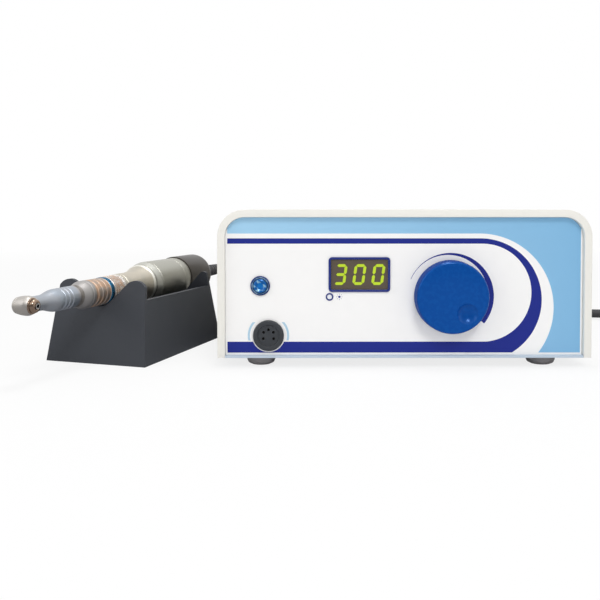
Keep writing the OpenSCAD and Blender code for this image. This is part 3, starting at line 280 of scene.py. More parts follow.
# where the groups of pieces stand: the handpiece's axis is turned 18 degrees on the table
handAt = (-192, -22, 49.2)
handTurn = 18
handAxis = (math.sin(math.radians(handTurn)), math.cos(math.radians(handTurn)))
headStation = -132.5
headAt = (handAt[0] + headStation * handAxis[0], handAt[1] + headStation * handAxis[1], handAt[2])
filmFront = -91.5
rearOut = 91
knobAt = (31, 48)
buttonAt = (-96.5, 55)
lampAt = (-50, 47.5)


def onHand(piece):
    return placePiece(piece, handAt, (-90, 0, -handTurn))


def onHead(piece):
    return placePiece(piece, headAt, (0, 90, -handTurn))


def onPanel(piece, x, z):
    return placePiece(piece, (x, filmFront, z), (90, 0, 0))


def onRear(piece, x, z):
    return placePiece(piece, (x, rearOut, z), (-90, 0, 0))


# cords: the routes of the CAD solids, in millimetres
handCordFacts = {
    "diameter": 7, "coilAt": (-47, 165), "coilRadius": 50, "coilBase": 4.9, "loops": 6, "gap": 0.7,
    "lead": [(-147.193, 115.903, 49.2), (-143.484, 127.316, 49.2), (-138.5, 143, 48.4), (-134, 158, 46),
             (-131, 170, 39), (-127, 181, 29.5), (-122, 191, 20), (-116, 200, 12), (-108, 208, 7),
             (-98, 213, 5), (-86, 215, 4.9), (-70, 215, 4.9), (-54, 215, 4.9)],
    "tail": [(-17, 215, 12.6), (-4, 215, 10), (3, 215, 10)],
}
mainsCordFacts = {
    "diameter": 8, "coilAt": (280, 60), "coilRadius": 60, "coilBase": 5.4, "loops": 5.25, "gap": 0.7,
    "lead": [(85, 128, 28), (85, 138, 28), (87, 150, 24), (92, 160, 17.5), (101, 167, 11), (113, 169.5, 7),
             (128, 166.5, 5.4), (146, 157.5, 5.4), (164, 146, 5.4), (182, 134.5, 5.4), (201, 125.5, 5.4),
             (221, 121, 5.4), (239, 120, 5.4), (256, 120, 5.4), (271.3, 120, 5.4)],
    "tail": [(333.475, 42, 14.1), (333.475, 25, 14.1), (333.475, 8, 14.1)],
}


def coilPoints(facts, ringsPerLoop=24, loopsEachWay=3, layerChange=0.5):
    # inwards on the lower layer, then outwards on the upper one
    pitch = facts["diameter"] + facts["gap"]
    points = []
    for i in range(int(facts["loops"] * ringsPerLoop) + 1):
        loop = i / ringsPerLoop
        angle = math.radians(90 - 360 * loop)
        radius = facts["coilRadius"] - pitch * (loopsEachWay - abs(loop - loopsEachWay))
        rise = min(max((loop - loopsEachWay) / layerChange + 0.5, 0), 1)
        points.append((
            facts["coilAt"][0] + radius * math.cos(angle),
            facts["coilAt"][1] + radius * math.sin(angle),
            facts["coilBase"] + pitch * rise * rise * (3 - 2 * rise),
        ))
    return points


def layCord(name, facts):
    points = facts["lead"] + coilPoints(facts) + facts["tail"]
    curve = bpy.data.curves.new(name, "CURVE")
    curve.dimensions = "3D"
    spline = curve.splines.new("BEZIER")
    spline.bezier_points.add(len(points) - 1)
    for knot, point in zip(spline.bezier_points, points):
        knot.co = metres(point)
        knot.handle_left_type = knot.handle_right_type = "AUTO"
    spline.resolution_u = 4
    curve.bevel_depth = facts["diameter"] / 2 * mm
    curve.bevel_resolution = 5
    curve.use_fill_caps = True
    cord = bpy.data.objects.new(name, curve)
    bpy.context.scene.collection.objects.link(cord)
    return cord


handCord = layCord("handCord", handCordFacts)
mainsCord = layCord("mainsCord", mainsCordFacts)
print("cords laid")


# shader tools, which find their node tree from the sockets that they get
def srgb(red, green, blue):
    def linear(value):
        value = value / 255
        return value / 12.92 if value <= 0.04045 else ((value + 0.055) / 1.055) ** 2.4
    return (linear(red), linear(green), linear(blue), 1)


def addNode(tree, kind, **values):
    node = tree.nodes.new(kind)
    for key, value in values.items():
        setattr(node, key, value)
    return node


def feed(source, socket):
    if isinstance(source, bpy.types.NodeSocket):
        socket.id_data.links.new(source, socket)
    else:
        socket.default_value = source


def setInputs(node, **values):
    for key, value in values.items():
        feed(value, node.inputs[key.replace("_", " ")])


def nodeFrom(kind, *sources, **values):
    # a node whose inputs are fed in order
    tree = next(source.id_data for source in sources if isinstance(source, bpy.types.NodeSocket))
    node = addNode(tree, kind, **values)
    for source, socket in zip(sources, node.inputs):
        feed(source, socket)
    return node


def calc(operation, *values):
    return nodeFrom("ShaderNodeMath", *values, operation=operation).outputs[0]


def span(value, low, high, toLow=0.0, toHigh=1.0):
    return nodeFrom("ShaderNodeMapRange", value, low, high, toLow, toHigh).outputs[0]


def mixColour(factor, first, second):
    node = addNode(factor.id_data, "ShaderNodeMix", data_type="RGBA")
    for source, i in ((factor, 0), (first, 6), (second, 7)):  # the node's sockets for colours
        feed(source, node.inputs[i])
    return node.outputs[2]


def noise(place, scale, detail=3.0, rough=0.5):
    node = nodeFrom("ShaderNodeTexNoise", place)
    setInputs(node, Scale=scale, Detail=detail, Roughness=rough)
    return node.outputs[0]


socketKinds = {"Vector": "NodeSocketVector", "Colour": "NodeSocketColor"}  # all others are numbers
surface = ("Colour", "Roughness", "Height")


def newGroup(name, inputs, outputs):
    group = bpy.data.node_groups.new(name, "ShaderNodeTree")
    for way, labels in (("INPUT", inputs), ("OUTPUT", outputs)):
        for label in labels:
            kind = socketKinds.get(label, "NodeSocketFloat")
            socket = group.interface.new_socket(label, in_out=way, socket_type=kind)
            if way == "INPUT" and label not in socketKinds:
                socket.default_value = inputs[label]
    return group, addNode(group, "NodeGroupInput").outputs, addNode(group, "NodeGroupOutput")


def giveSurface(entry, result, pattern, amount, height):
    # colour and roughness vary by a pattern whose middle is one half
    change = calc("SUBTRACT", pattern, 0.5)
    shade = addNode(pattern.id_data, "ShaderNodeHueSaturation")
    setInputs(shade, Value=calc("MULTIPLY_ADD", change, entry[amount], 1.0), Color=entry["Colour"])
    rough = calc("MULTIPLY_ADD", change, entry["Roughness Spread"], entry["Roughness"])
    setInputs(result, Colour=shade.outputs[0], Roughness=rough, Height=height)


def makeMouldGrain():
    group, entry, result = newGroup("mouldGrain", {
        "Vector": None, "Colour": None, "Grain Scale": 900.0, "Mottle": 0.06, "Roughness": 0.45,
        "Roughness Spread": 0.12}, surface)
    fine = noise(entry["Vector"], entry["Grain Scale"], 2.0)
    broad = noise(entry["Vector"], calc("DIVIDE", entry["Grain Scale"], 22.0), 4.0, 0.6)
    giveSurface(entry, result, broad, "Mottle", fine)
    return group


def makeTurnMarks():
    # fine rings round the handpiece's axis, left by the lathe
    group, entry, result = newGroup("turnMarks", {
        "Vector": None, "Colour": None, "Pitch": 2600.0, "Marks": 0.1, "Roughness": 0.3,
        "Roughness Spread": 0.2}, surface)
    turned = nodeFrom("ShaderNodeMapping", entry["Vector"])
    setInputs(turned, Rotation=(0, 0, math.radians(handTurn)))
    stretched = nodeFrom("ShaderNodeVectorMath", turned.outputs[0], (0.02, 1.0, 0.02), operation="MULTIPLY")
    rings = noise(stretched.outputs[0], entry["Pitch"], 2.0)
    cloud = noise(entry["Vector"], 130.0, 3.0)
    blended = calc("MULTIPLY_ADD", rings, 0.7, calc("MULTIPLY", cloud, 0.3))
    giveSurface(entry, result, blended, "Marks", rings)
    return group


def makeScuffs():
    # short pale scratches and rub marks, as a mask
    group, entry, result = newGroup("scuffs", {"Vector": None, "Amount": 0.3, "Scale": 60.0}, ["Mask"])
    drawn = nodeFrom("ShaderNodeMapping", entry["Vector"])
    setInputs(drawn, Rotation=(0.3, 0.5, 0.7), Scale=(1.0, 9.0, 3.0))
    lines = span(noise(drawn.outputs[0], entry["Scale"], 4.0, 0.7), 0.66, 0.74)
    patches = span(noise(entry["Vector"], calc("MULTIPLY", entry["Scale"], 0.4)), 0.5, 0.64)
    mask = calc("MULTIPLY", lines, patches)
    setInputs(result, Mask=calc("MULTIPLY", mask, entry["Amount"]))
    return group


mouldGrain = makeMouldGrain()
turnMarks = makeTurnMarks()
scuffs = makeScuffs()


def newFinish(name):
    finish = bpy.data.materials.new(name)
    finish.use_nodes = True
    shader = finish.node_tree.nodes["Principled BSDF"]
    place = addNode(finish.node_tree, "ShaderNodeTexCoord").outputs["Object"]
    return finish, shader, place


def useGroup(group, place, **values):
    node = addNode(place.id_data, "ShaderNodeGroup", node_tree=group)
    setInputs(node, Vector=place, **values)
    return node.outputs


def grainOf(place, tint, scale, mottle, rough):
    return useGroup(mouldGrain, place, Colour=tint, Grain_Scale=scale, Mottle=mottle, Roughness=rough)


reliefDeep = {"plastic": 0.1, "metal": 0.02, "film": 0.05}  # in millimetres


def coverWith(shader, tint, made, strength, deep, **more):
    bump = addNode(shader.id_data, "ShaderNodeBump")
    setInputs(bump, Strength=strength, Distance=deep * mm, Height=made["Height"])
    setInputs(shader, Base_Color=tint, Roughness=made["Roughness"], Normal=bump.outputs[0], **more)


# masks for printed and ringed finishes
def facePlace(place):
    # millimetres across and up the front
    x, y, z = nodeFrom("ShaderNodeSeparateXYZ", place).outputs
    return calc("DIVIDE", x, mm), calc("DIVIDE", z, mm)


def awayFrom(x, z, centre):
    # distance and angle from a centre
    dx = calc("SUBTRACT", x, centre[0])
    dz = calc("SUBTRACT", z, centre[1])
    squares = calc("MULTIPLY_ADD", dx, dx, calc("MULTIPLY", dz, dz))
    return calc("SQRT", squares), calc("ARCTAN2", dz, dx)


def less(first, second):
    return calc("LESS_THAN", first, second)


def both(first, second):
    return calc("MULTIPLY", first, second)


def either(first, second):
    return calc("MAXIMUM", first, second)


def between(low, value, high):
    return both(less(low, value), less(value, high))


def plasticFinish(name, tone, rough, grain=900.0, mottle=0.06, bump=0.1, scuff=0.0, worn=None, **more):
    finish, shader, place = newFinish(name)
    made = grainOf(place, srgb(*tone), grain, mottle, rough)
    tint = made["Colour"]
    if scuff:
        tint = mixColour(useGroup(scuffs, place, Amount=scuff)["Mask"], tint, srgb(*worn))
    coverWith(shader, tint, made, bump, reliefDeep["plastic"], **more)
    return finish


def metalFinish(name, tone, rough, marks=0.1, bump=0.12, toneAndPaintedLightZones=()):
    # zones with a second tone, each from and to a station of the handpiece, with the scale of its
    # patches, its tone, and the least and the most of it; some are the metal's own tone, others paint
    # highlights, shade and reflections on it
    finish, shader, place = newFinish(name)
    made = useGroup(turnMarks, place, Colour=srgb(*tone), Marks=marks, Roughness=rough)
    tint = made["Colour"]
    if toneAndPaintedLightZones:
        axis = (handAxis[0] / mm, handAxis[1] / mm, 0)
        along = nodeFrom("ShaderNodeVectorMath", place, axis, operation="DOT_PRODUCT").outputs["Value"]
        station = calc("SUBTRACT", along, handAt[0] * handAxis[0] + handAt[1] * handAxis[1])
    for low, high, scale, second, least, most in toneAndPaintedLightZones:
        cloud = span(noise(place, scale, 2.0), 0.42, 0.58, least, most)
        tint = mixColour(both(between(low, station, high), cloud), tint, srgb(*second))
    coverWith(shader, tint, made, bump, reliefDeep["metal"], Metallic=1.0)
    return finish


def ringedFinish(name, centre, rough, rings, dull=None, **more):
    # rings: outer radius, tone, and the tone of its patches, which are mottling on some rings and painted
    # highlights on others; dull: radius and roughness of a wall
    finish, shader, place = newFinish(name)
    reach = awayFrom(*facePlace(place), centre)[0]
    cloud = span(noise(place, 360.0, 1.0), 0.46, 0.6)
    tint = srgb(*rings[-1][1])
    for radius, tone, mottleAndGlintTone in reversed(rings):
        tint = mixColour(less(reach, radius), tint, mixColour(cloud, srgb(*tone), srgb(*mottleAndGlintTone)))
    if dull:
        rough = calc("MULTIPLY_ADD", less(dull[0], reach), dull[1] - rough, rough)
    made = grainOf(place, tint, 900.0, 0.1, rough)
    coverWith(shader, made["Colour"], made, 0.03, reliefDeep["plastic"], **more)
    return finish


# the film's print: stripes round the speed knob, an arc beside the socket and a lamp sign, in millimetres
filmPrint = {
    "half": 120.0, "edge": 118.6, "foot": 9.9, "bandTop": 17.3, "outer": (90.0, 50.6, 40.0, 50.0),
    "navy": (86.8, 51.1, 45.3, 41.5), "inner": (83.2, 52.6, 50.2, 33.0),
    "knob": (31.2, 47.8), "sweep": 29.2, "sweepThin": 0.35, "sweepWide": 2.0, "sweepFrom": -38.8,
    "sweepTo": 156.5, "thinAt": 150,
    "socket": (-91.0, 21.5), "socketWhite": 11.2, "arc": (12.5, 13.9), "arcFoot": 18.1, "arcTop": 30.4,
    "sign": (-43.4, 47.5), "dot": 0.8, "rays": (1.25, 2.1), "rayCount": 8.0, "rayEdge": 0.88,
    "paper": (248, 247, 246), "blueLeft": (165, 209, 238), "blueRight": (131, 184, 222),
    "ink": (32, 45, 138), "arcTone": (176, 208, 228),
}


def makeFilm():
    f = filmPrint
    finish, shader, place = newFinish("printedFilm")
    x, z = facePlace(place)

    def tongue(height, cx, cz, radius):
        straight = both(less(z, height), less(x, cx))
        return either(straight, less(awayFrom(x, z, (cx, cz))[0], radius))

    paper = srgb(*f["paper"])
    ink = srgb(*f["ink"])
    layers = [(tongue(*f["outer"]), paper), (tongue(*f["navy"]), ink),
              (both(tongue(*f["inner"]), less(f["bandTop"], z)), paper)]
    # the sweep beside the knob, thin at its start and wide at full speed
    reach, angle = awayFrom(x, z, f["knob"])
    thin = math.radians(f["thinAt"])
    moved = (f["knob"][0] + f["sweepWide"] * math.cos(thin), f["knob"][1] + f["sweepWide"] * math.sin(thin))
    hollow = less(f["sweep"] - f["sweepThin"] - f["sweepWide"], awayFrom(x, z, moved)[0])
    part = between(math.radians(f["sweepFrom"]), angle, math.radians(f["sweepTo"]))
    layers.append((both(both(less(reach, f["sweep"]), hollow), part), ink))
    # the socket's white ring and the two ends of its arc
    reach = awayFrom(x, z, f["socket"])[0]
    ends = between(f["arcFoot"], z, f["arcTop"])
    layers.append((both(between(f["arc"][0], reach, f["arc"][1]), ends), srgb(*f["arcTone"])))
    layers.append((less(reach, f["socketWhite"]), paper))
    # the lamp's sign: a dot with rays
    reach, angle = awayFrom(x, z, f["sign"])
    waves = calc("COSINE", calc("MULTIPLY", angle, f["rayCount"]))
    rays = both(between(f["rays"][0], reach, f["rays"][1]), less(f["rayEdge"], waves))
    layers.append((either(less(reach, f["dot"]), rays), ink))
    # a bare margin along the sides and the foot
    sides = less(f["edge"], calc("ABSOLUTE", x))
    layers.append((either(sides, less(z, f["foot"])), paper))
    across = span(x, -f["half"], f["half"])
    tint = mixColour(across, srgb(*f["blueLeft"]), srgb(*f["blueRight"]))
    for mask, tone in layers:
        tint = mixColour(mask, tint, tone)
    made = grainOf(place, tint, 2400.0, 0.03, 0.4)
    coverWith(shader, made["Colour"], made, 0.06, reliefDeep["film"], Specular_IOR_Level=0.2)
    return finish


def makeGlow(name, tone, strength, dull):
    finish, shader, place = newFinish(name)
    made = grainOf(place, srgb(*tone), 1800.0, 0.35, 0.3)
    setInputs(shader, Base_Color=srgb(*dull), Emission_Color=made["Colour"], Emission_Strength=strength,
              Roughness=made["Roughness"])
    return finish


# plain marks on the rocker: a bar for on and a ring for off
rockerMarks = {"x": 85, "on": 75.6, "off": 66.4, "bar": (0.5, 1.8), "ring": (1.1, 1.8),
               "plastic": (50, 51, 54), "print": (232, 232, 228)}


def makeRockerFinish():
    m = rockerMarks
    finish, shader, place = newFinish("rockerMarks")
    x, z = facePlace(place)
    wide, tall = m["bar"]
    bar = both(between(m["x"] - wide, x, m["x"] + wide), between(m["on"] - tall, z, m["on"] + tall))
    reach = awayFrom(x, z, (m["x"], m["off"]))[0]
    marks = either(bar, between(m["ring"][0], reach, m["ring"][1]))
    made = grainOf(place, srgb(*m["plastic"]), 1000.0, 0.12, 0.36)
    tint = mixColour(marks, made["Colour"], srgb(*m["print"]))
    coverWith(shader, tint, made, 0.1, reliefDeep["plastic"])
    return finish


finishes = {
    "cream_plastic": plasticFinish("creamEnamel", (238, 236, 229), 0.42, 1400.0, 0.025, 0.12),
    "panel_plastic": plasticFinish("panelWhite", (246, 245, 243), 0.45, 1200.0, 0.03, 0.08),
    "printed_film": makeFilm(),
    "navy_plastic": plasticFinish("navyTrim", (32, 48, 126), 0.3, 1200.0, 0.08, 0.06,
                                  Specular_IOR_Level=0.4),
    # the darker tone outside 23.7 mm is painted shade on the side wall of the knob
    "knob_plastic": ringedFinish("knobGloss", knobAt, 0.15, [
        (23.7, (5, 71, 150), (8, 75, 155)), (26.0, (0, 54, 134), (2, 58, 140)),
    ], (23.8, 0.7), Specular_IOR_Level=0.6, Specular_Tint=(0.25, 0.5, 1.0, 1.0)),
    # the pale patches on the ring round the button's middle are painted highlights
    "button_plastic": ringedFinish("buttonBlue", buttonAt, 0.16, [
        (2.0, (0, 112, 196), (10, 128, 214)), (4.3, (0, 96, 172), (150, 196, 222)),
        (5.0, (14, 74, 134), (30, 92, 150)),
    ], Metallic=0.3, Specular_IOR_Level=0.5),
    "lamp_lens": plasticFinish("lampLens", (236, 238, 242), 0.22, 700.0, 0.06, 0.04, Coat_Weight=0.4),
    "display_face": plasticFinish("displayFace", (90, 79, 66), 0.22, 500.0, 0.12, 0.03, Coat_Weight=0.3),
    "lit_segment": makeGlow("litSegment", (198, 226, 44), 0.85, (60, 70, 20)),
    "black_plastic": plasticFinish("blackPlastic", (60, 63, 67), 0.4, 1000.0, 0.12, 0.12,
                                   Specular_IOR_Level=0.3),
    "stand_plastic": plasticFinish("standPlastic", (60, 63, 69), 0.5, 1300.0, 0.07, 0.16, 0.3,
                                   (104, 106, 110), Specular_IOR_Level=0.35),
    "rubber": plasticFinish("blackRubber", (60, 59, 62), 0.62, 1500.0, 0.14, 0.2, 0.3, (96, 92, 88)),
    "tie_plastic": plasticFinish("tieNylon", (228, 228, 222), 0.4, 900.0, 0.05, 0.06),
    "steel": metalFinish("turnedSteel", (196, 196, 198), 0.26, 0.14),
    "knurled_steel": metalFinish("knurledSteel", (228, 223, 218), 0.3, 0.12, toneAndPaintedLightZones=[
        (-50.0, -37.4, 420.0, (214, 178, 150), 0.1, 0.7)]),
    # the cone zone is a warmer tone of the alloy; the thin pale ring and the wide pale ring are painted
    # highlights on the rings, and the darker band between them is painted shade in their groove
    "grey_alloy": metalFinish("satinAlloy", (182, 181, 172), 0.45, 0.08, toneAndPaintedLightZones=[
        (-36.0, -2.2, 60.0, (204, 197, 183), 0.6, 1.0), (-2.2, -0.4, 90.0, (240, 238, 230), 0.8, 1.0),
        (-0.4, 1.8, 90.0, (160, 160, 153), 0.7, 1.0), (1.8, 6.9, 90.0, (202, 202, 195), 0.8, 1.0)]),
    "blue_anodised": metalFinish("blueAnodised", (44, 106, 142), 0.34, 0.12),
    "sink_alloy": metalFinish("sinkAlloy", (150, 152, 156), 0.4, 0.12),
    "magnet": metalFinish("magnetFerrite", (82, 82, 86), 0.5, 0.2),
    "brass": metalFinish("polishedBrass", (160, 138, 120), 0.06, 0.1, 0.05),
    "copper": metalFinish("windingCopper", (184, 112, 70), 0.34, 0.3),
    "board": plasticFinish("boardGreen", (38, 98, 60), 0.35, 600.0, 0.2, 0.05, Coat_Weight=0.3),
    "board_part": plasticFinish("boardParts", (52, 60, 96), 0.38, 700.0, 0.16, 0.06),
    "carbon": plasticFinish("brushCarbon", (58, 48, 42), 0.6, 1600.0, 0.2, 0.2),
}

# nodes whose look differs from the rest of their slot
# the head end gets a warmer tone; the bluish zone along the sheath is a painted reflection of a bluish table
# below
coolFinish = metalFinish("coolAlloy", (181, 179, 180), 0.46, 0.06, 0.05, [
    (-142.0, -126.5, 90.0, (198, 193, 186), 0.7, 1.0), (-126.5, -88.0, 90.0, (174, 182, 192), 0.6, 1.0)])
ownFinishes = {
    # the dark zone at the narrow end of the nose, where it meets the sheath, is painted shade; the ribs get
    # a bronze tone
    "nose_sleeve": metalFinish("ribbedAlloy", (174, 171, 169), 0.54, 0.08, toneAndPaintedLightZones=[
        (-86.5, -82.5, 160.0, (120, 114, 106), 0.6, 1.0), (-72.0, -54.2, 160.0, (200, 168, 142), 0.3, 0.9)]),
    "attachment_sheath": coolFinish,
    "head_shell": coolFinish,
    "head_cap": coolFinish,
    "rear_cap": plasticFinish("warmBlack", (46, 43, 41), 0.34, 1000.0, 0.12, 0.08, Specular_IOR_Level=0.6,
                              Specular_Tint=(1.0, 0.9, 0.78, 1.0)),
    "base_tray": plasticFinish("trayGrey", (192, 206, 220), 0.4, 1400.0, 0.04, 0.1),
    "rubber_feet": plasticFinish("footRubber", (150, 145, 145), 0.62, 1500.0, 0.14, 0.2, 0.3,
                                 (150, 146, 140)),
    "power_rocker": makeRockerFinish(),
    # the pale inner chamfer of the ring, with its paler patches, is a painted highlight
    "select_ring": ringedFinish("buttonRing", buttonAt, 0.22, [
        (5.7, (86, 122, 158), (150, 184, 208)), (8.0, (24, 44, 104), (30, 56, 116))], Metallic=0.2),
    # the contacts get a dark tone that paints the shade of the holes they sit in
    "socket_contacts": metalFinish("contactPaintedShade", (92, 88, 82), 0.4, 0.1),
}
for name, node in nodes.items():
    node.data.materials[0] = ownFinishes.get(name, finishes[slots[name]])
print("finishes made:", len(finishes))


def dress(piece, body, *nodeNames, slotName=None):
    slotName = slotName or slots[nodeNames[0]]
    finish = finishes[slotName]
    if nodeNames:
        finish = ownFinishes.get(nodeNames[0], finish)
    if piece.type == "MESH":
        piece.data.materials.clear()
    piece.data.materials.append(finish)
    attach(piece, body)
    if nodeNames:
        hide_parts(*nodeNames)


dress(handCord, "handpiece", "hand_cord", "hand_coil")
dress(mainsCord, "control_unit", "mains_cord", "mains_coil")

# handpiece: stations in millimetres along its axis, counted from the middle of the stand
hand = {
    "joint": -86, "tube": -80, "ribs": -74, "marker": -54, "chuck": -50.5, "cone": -34.5, "rings": -2,
    "body": 8, "line": 45, "cap": 55, "shellEnd": 90, "tail": 100, "bootEnd": 145, "noseRadius": 9.4,
    "ribCount": 4, "motorRadius": 16.2, "waistRadius": 10.3, "flareRadius": 13.6, "flareLength": 19.5,
    "landRadius": 14.4, "capRadius": 17.1, "capSeat": 14.7, "capRound": 11, "capHole": 6.05,
    "bootRadius": 5.9, "bootTip": 4.7, "bore": 7.52, "neckBore": 4.92, "chuckBore": 7.6, "shellBore": 12.6,
}


def makeNose():
    r, front, ribs, count = hand["noseRadius"], hand["joint"] + 0.3, hand["ribs"], hand["ribCount"]
    marker, tube, bore, neck = hand["marker"], hand["tube"], hand["bore"], hand["neckBore"]
    outline = [(neck, front)] + easeLine(6.4, r, front, ribs - 1.8)
    outline += [(r - 0.25, ribs - 1.5, 0.1), (r - 0.25, ribs - 1.0, 0.1), (r, ribs - 0.7, 0.2)]
    outline += ribLine(ribs, marker, r, r, count, range(count),
                       ((0.55, 0), (0.63, 0.45), (0.9, 0.45), (0.98, 0)))
    outline += [(r, marker), (bore, marker), (bore, tube), (neck, tube)]
    return onHand(turnPiece("noseSleeve", outline, 0.15))


def makeMotorBody():
    r, waist, land, bore = hand["motorRadius"], hand["waistRadius"], hand["landRadius"], hand["bore"]
    cone, rings, line, body = hand["cone"], hand["rings"], hand["line"], hand["body"]
    cap, seat, end, shell = hand["cap"] - 0.3, hand["capSeat"], hand["shellEnd"], hand["shellBore"]
    outline = [(bore, cone), (waist - 0.1, cone, 0.3), (waist - 0.1, cone + 2.2, 0.1),
               (waist - 0.5, cone + 2.6, 0.1), (waist - 0.5, cone + 3.1, 0.1), (waist, cone + 3.5, 0.2)]
    flare, steps = hand["flareRadius"] - waist, 12
    for i in range(steps + 1):
        t = i / steps
        outline.append((waist + flare * t * t, rings - hand["flareLength"] * (1 - t), 0))
    outline += [(land, rings + 0.8, 0.3), (land, rings + 1.7, 0.3), (land - 0.4, rings + 2.2, 0.2),
                (land - 0.4, rings + 3.2, 0.2), (land + 0.1, rings + 3.8, 0.3), (r - 0.2, rings + 8, 0.8),
                (r - 0.2, rings + 8.7, 0.2), (r - 0.7, rings + 9, 0.1), (r - 0.7, body - 0.4, 0.1),
                (r, body, 0.2), (r, line - 0.5, 0.1), (r - 0.25, line - 0.3, 0.1),
                (r - 0.25, line + 0.2, 0.1), (r, line + 0.4, 0.1), (r, cap), (seat, cap), (seat, end),
                (shell, end), (shell, rings + 3), (bore, rings + 3)]
    return onHand(turnPiece("motorBody", outline, 0.2, 128))


# raised dots on the chuck ring, and one row of them on the marker
knurls = {
    "marker": {"columns": 40, "rows": 1, "from": -53.5, "to": -51.0, "radius": 9.42,
               "rise": 0.28, "edge": 0.2},
    "chuck": {"columns": 54, "rows": 10, "from": -49.6, "to": -37.8, "radius": 9.74,
              "rise": 0.36, "edge": 0.16},
}


def makeKnurl(knurl):
    # a band of faces, each drawn in and raised
    low, high, rows = knurl["from"], knurl["to"], knurl["rows"]
    clearSelection()
    bpy.ops.mesh.primitive_cylinder_add(
        vertices=knurl["columns"], radius=knurl["radius"] * mm, depth=(high - low) * mm,
        end_fill_type="NOTHING", location=(0, 0, (low + high) / 2 * mm))
    band = bpy.context.object
    applyPlace()
    bpy.ops.object.mode_set(mode="EDIT")
    if rows > 1:
        pick(band, "EDGE", lambda edge: abs(edge.verts[0].co.z - edge.verts[1].co.z) > mm)
        bpy.ops.mesh.subdivide(number_cuts=rows - 1)
        # every second row is turned by half a dot
        rowHeight = (high - low) / rows
        pick(band, "VERT", lambda vert: round((vert.co.z / mm - low) / rowHeight) % 2 == 1)
        half = math.pi / knurl["columns"]
        bpy.ops.transform.rotate(value=half, orient_axis="Z", center_override=(0, 0, 0))
    bpy.ops.mesh.select_mode(type="FACE")
    selectAll()
    bpy.ops.mesh.inset(thickness=knurl["edge"] * mm, depth=knurl["rise"] * mm, use_individual=True)
    closeEdit()
    return band


def makeMarker():
    front, end, bore = hand["marker"], hand["chuck"], hand["bore"]
    outline = [(bore, front), (9.3, front), (9.7, front + 0.3), (9.4, front + 0.6), (9.4, end - 0.6),
               (9.7, end - 0.3), (9.3, end), (bore, end)]
    return onHand(joinPieces([turnPiece("markerRing", outline, 0.1), makeKnurl(knurls["marker"])]))


def makeRearCap():
    r, tail, big, hole = hand["capRadius"], hand["tail"], hand["capRound"], hand["capHole"]
    seat = hand["capSeat"] + 0.02
    outline = [(seat, hand["cap"]), (r, hand["cap"], 0.6)] + arcLine(r - big, tail - big, big, big, 12)
    outline += [(hole, tail), (hole, tail - 6), (seat, tail - 6)]
    return onHand(turnPiece("rearCap", outline, 0.3, 128))


def makeBoot():
    tail, end, r, tip = hand["tail"], hand["bootEnd"], hand["bootRadius"], hand["bootTip"]
    outline = [(0, tail - 8), (7.9, tail - 8), (7.9, tail - 6), (r, tail - 6), (r, tail + (end - tail) / 9)]
    outline += ribLine(tail, end, r, tip, 9, range(1, 7), ((0.1, 0.7), (0.45, 0.7), (0.55, 0), (1.0, 0)))
    outline += [(tip, end), (0, end)]
    return onHand(turnPiece("cordBoot", outline, 0.25, 64))


def makeChuck():
    front, end, bore = hand["chuck"] + 0.3, hand["cone"] - 0.3, hand["chuckBore"]
    outline = [(bore, front), (9.7, front), (10.0, front + 0.3), (9.7, front + 0.6), (9.7, end - 3.0),
               (9.5, end - 2.7), (9.5, end - 2.4), (10.1, end - 2.1), (10.1, end - 0.4), (9.7, end),
               (bore, end)]
    return onHand(joinPieces([turnPiece("chuckRing", outline, 0.12), makeKnurl(knurls["chuck"])]))


# the head: heights along its own axis, the brass at the front
headShape = {"radius": 6.0, "front": 5.6, "wide": 1.8, "back": -4.0, "end": -6.8, "backDrop": 1.5,
             "frontDrop": 1.5, "brassFrom": 4.9, "bushRadius": 4.3, "bushEnd": 8.5, "bushBore": 1.85,
             "neckRadius": 3.6, "sheathRadius": 7.2, "collar": 27}


def headReach(x):
    s = headShape
    if x < s["wide"]:
        return s["radius"] - s["backDrop"] * ((s["wide"] - x) / (s["wide"] - s["end"])) ** 2
    return s["radius"] - s["frontDrop"] * ((x - s["wide"]) / (s["front"] - s["wide"])) ** 2


def headLine(start, stop, grow=0.0, steps=12):
    places = [start + (stop - start) * i / steps for i in range(steps + 1)]
    return [(headReach(x) + grow, x, 0) for x in places]


def makeSheath():
    head, joint, r, neck = headStation, hand["joint"], headShape["sheathRadius"], headShape["neckRadius"]
    end, front = headShape["end"], headShape["front"]
    collar = head + headShape["collar"]
    outline = [(neck, head + 1), (4.8, head + 1)] + easeLine(4.8, r - 0.05, head + 13, collar)
    outline += ribLine(collar, collar + 12, r, r, 3, range(3),
                       ((0.375, 0), (0.4875, 0.45), (0.7625, 0.45), (0.875, 0)), 0.25)
    outline += [(r, joint - 0.6), (6.7, joint), (5.0, joint), (5.0, joint - 14.5), (3.0, joint - 14.5),
                (3.0, head + 20.5), (1.9, head + 20.5), (1.9, head + 6.5), (neck, head + 6.5)]
    sheath = turnPiece("attachmentSheath", outline, 0.2)
    cutter = turnPiece("headRoom", [(0, end)] + headLine(end, front, 0.02) + [(0, front)], 0)
    cutAway(sheath, placePiece(cutter, (0, 0, head), (0, 90, 0)))
    return onHand(sheath)


def makeHeadShell():
    back, front = headShape["back"], headShape["brassFrom"]
    outline = [(4.6, back)] + headLine(back, front) + [(3.42, front), (3.42, 4.1), (4.6, 4.1)]
    shell = turnPiece("headShell", outline, 0)
    clearSelection()
    bpy.ops.mesh.primitive_cylinder_add(vertices=64, radius=headShape["neckRadius"] * mm, depth=12 * mm,
                                        location=(0, 6 * mm, 0), rotation=(math.pi / 2, 0, 0))
    cutAway(shell, bpy.context.object)
    return onHead(shell)


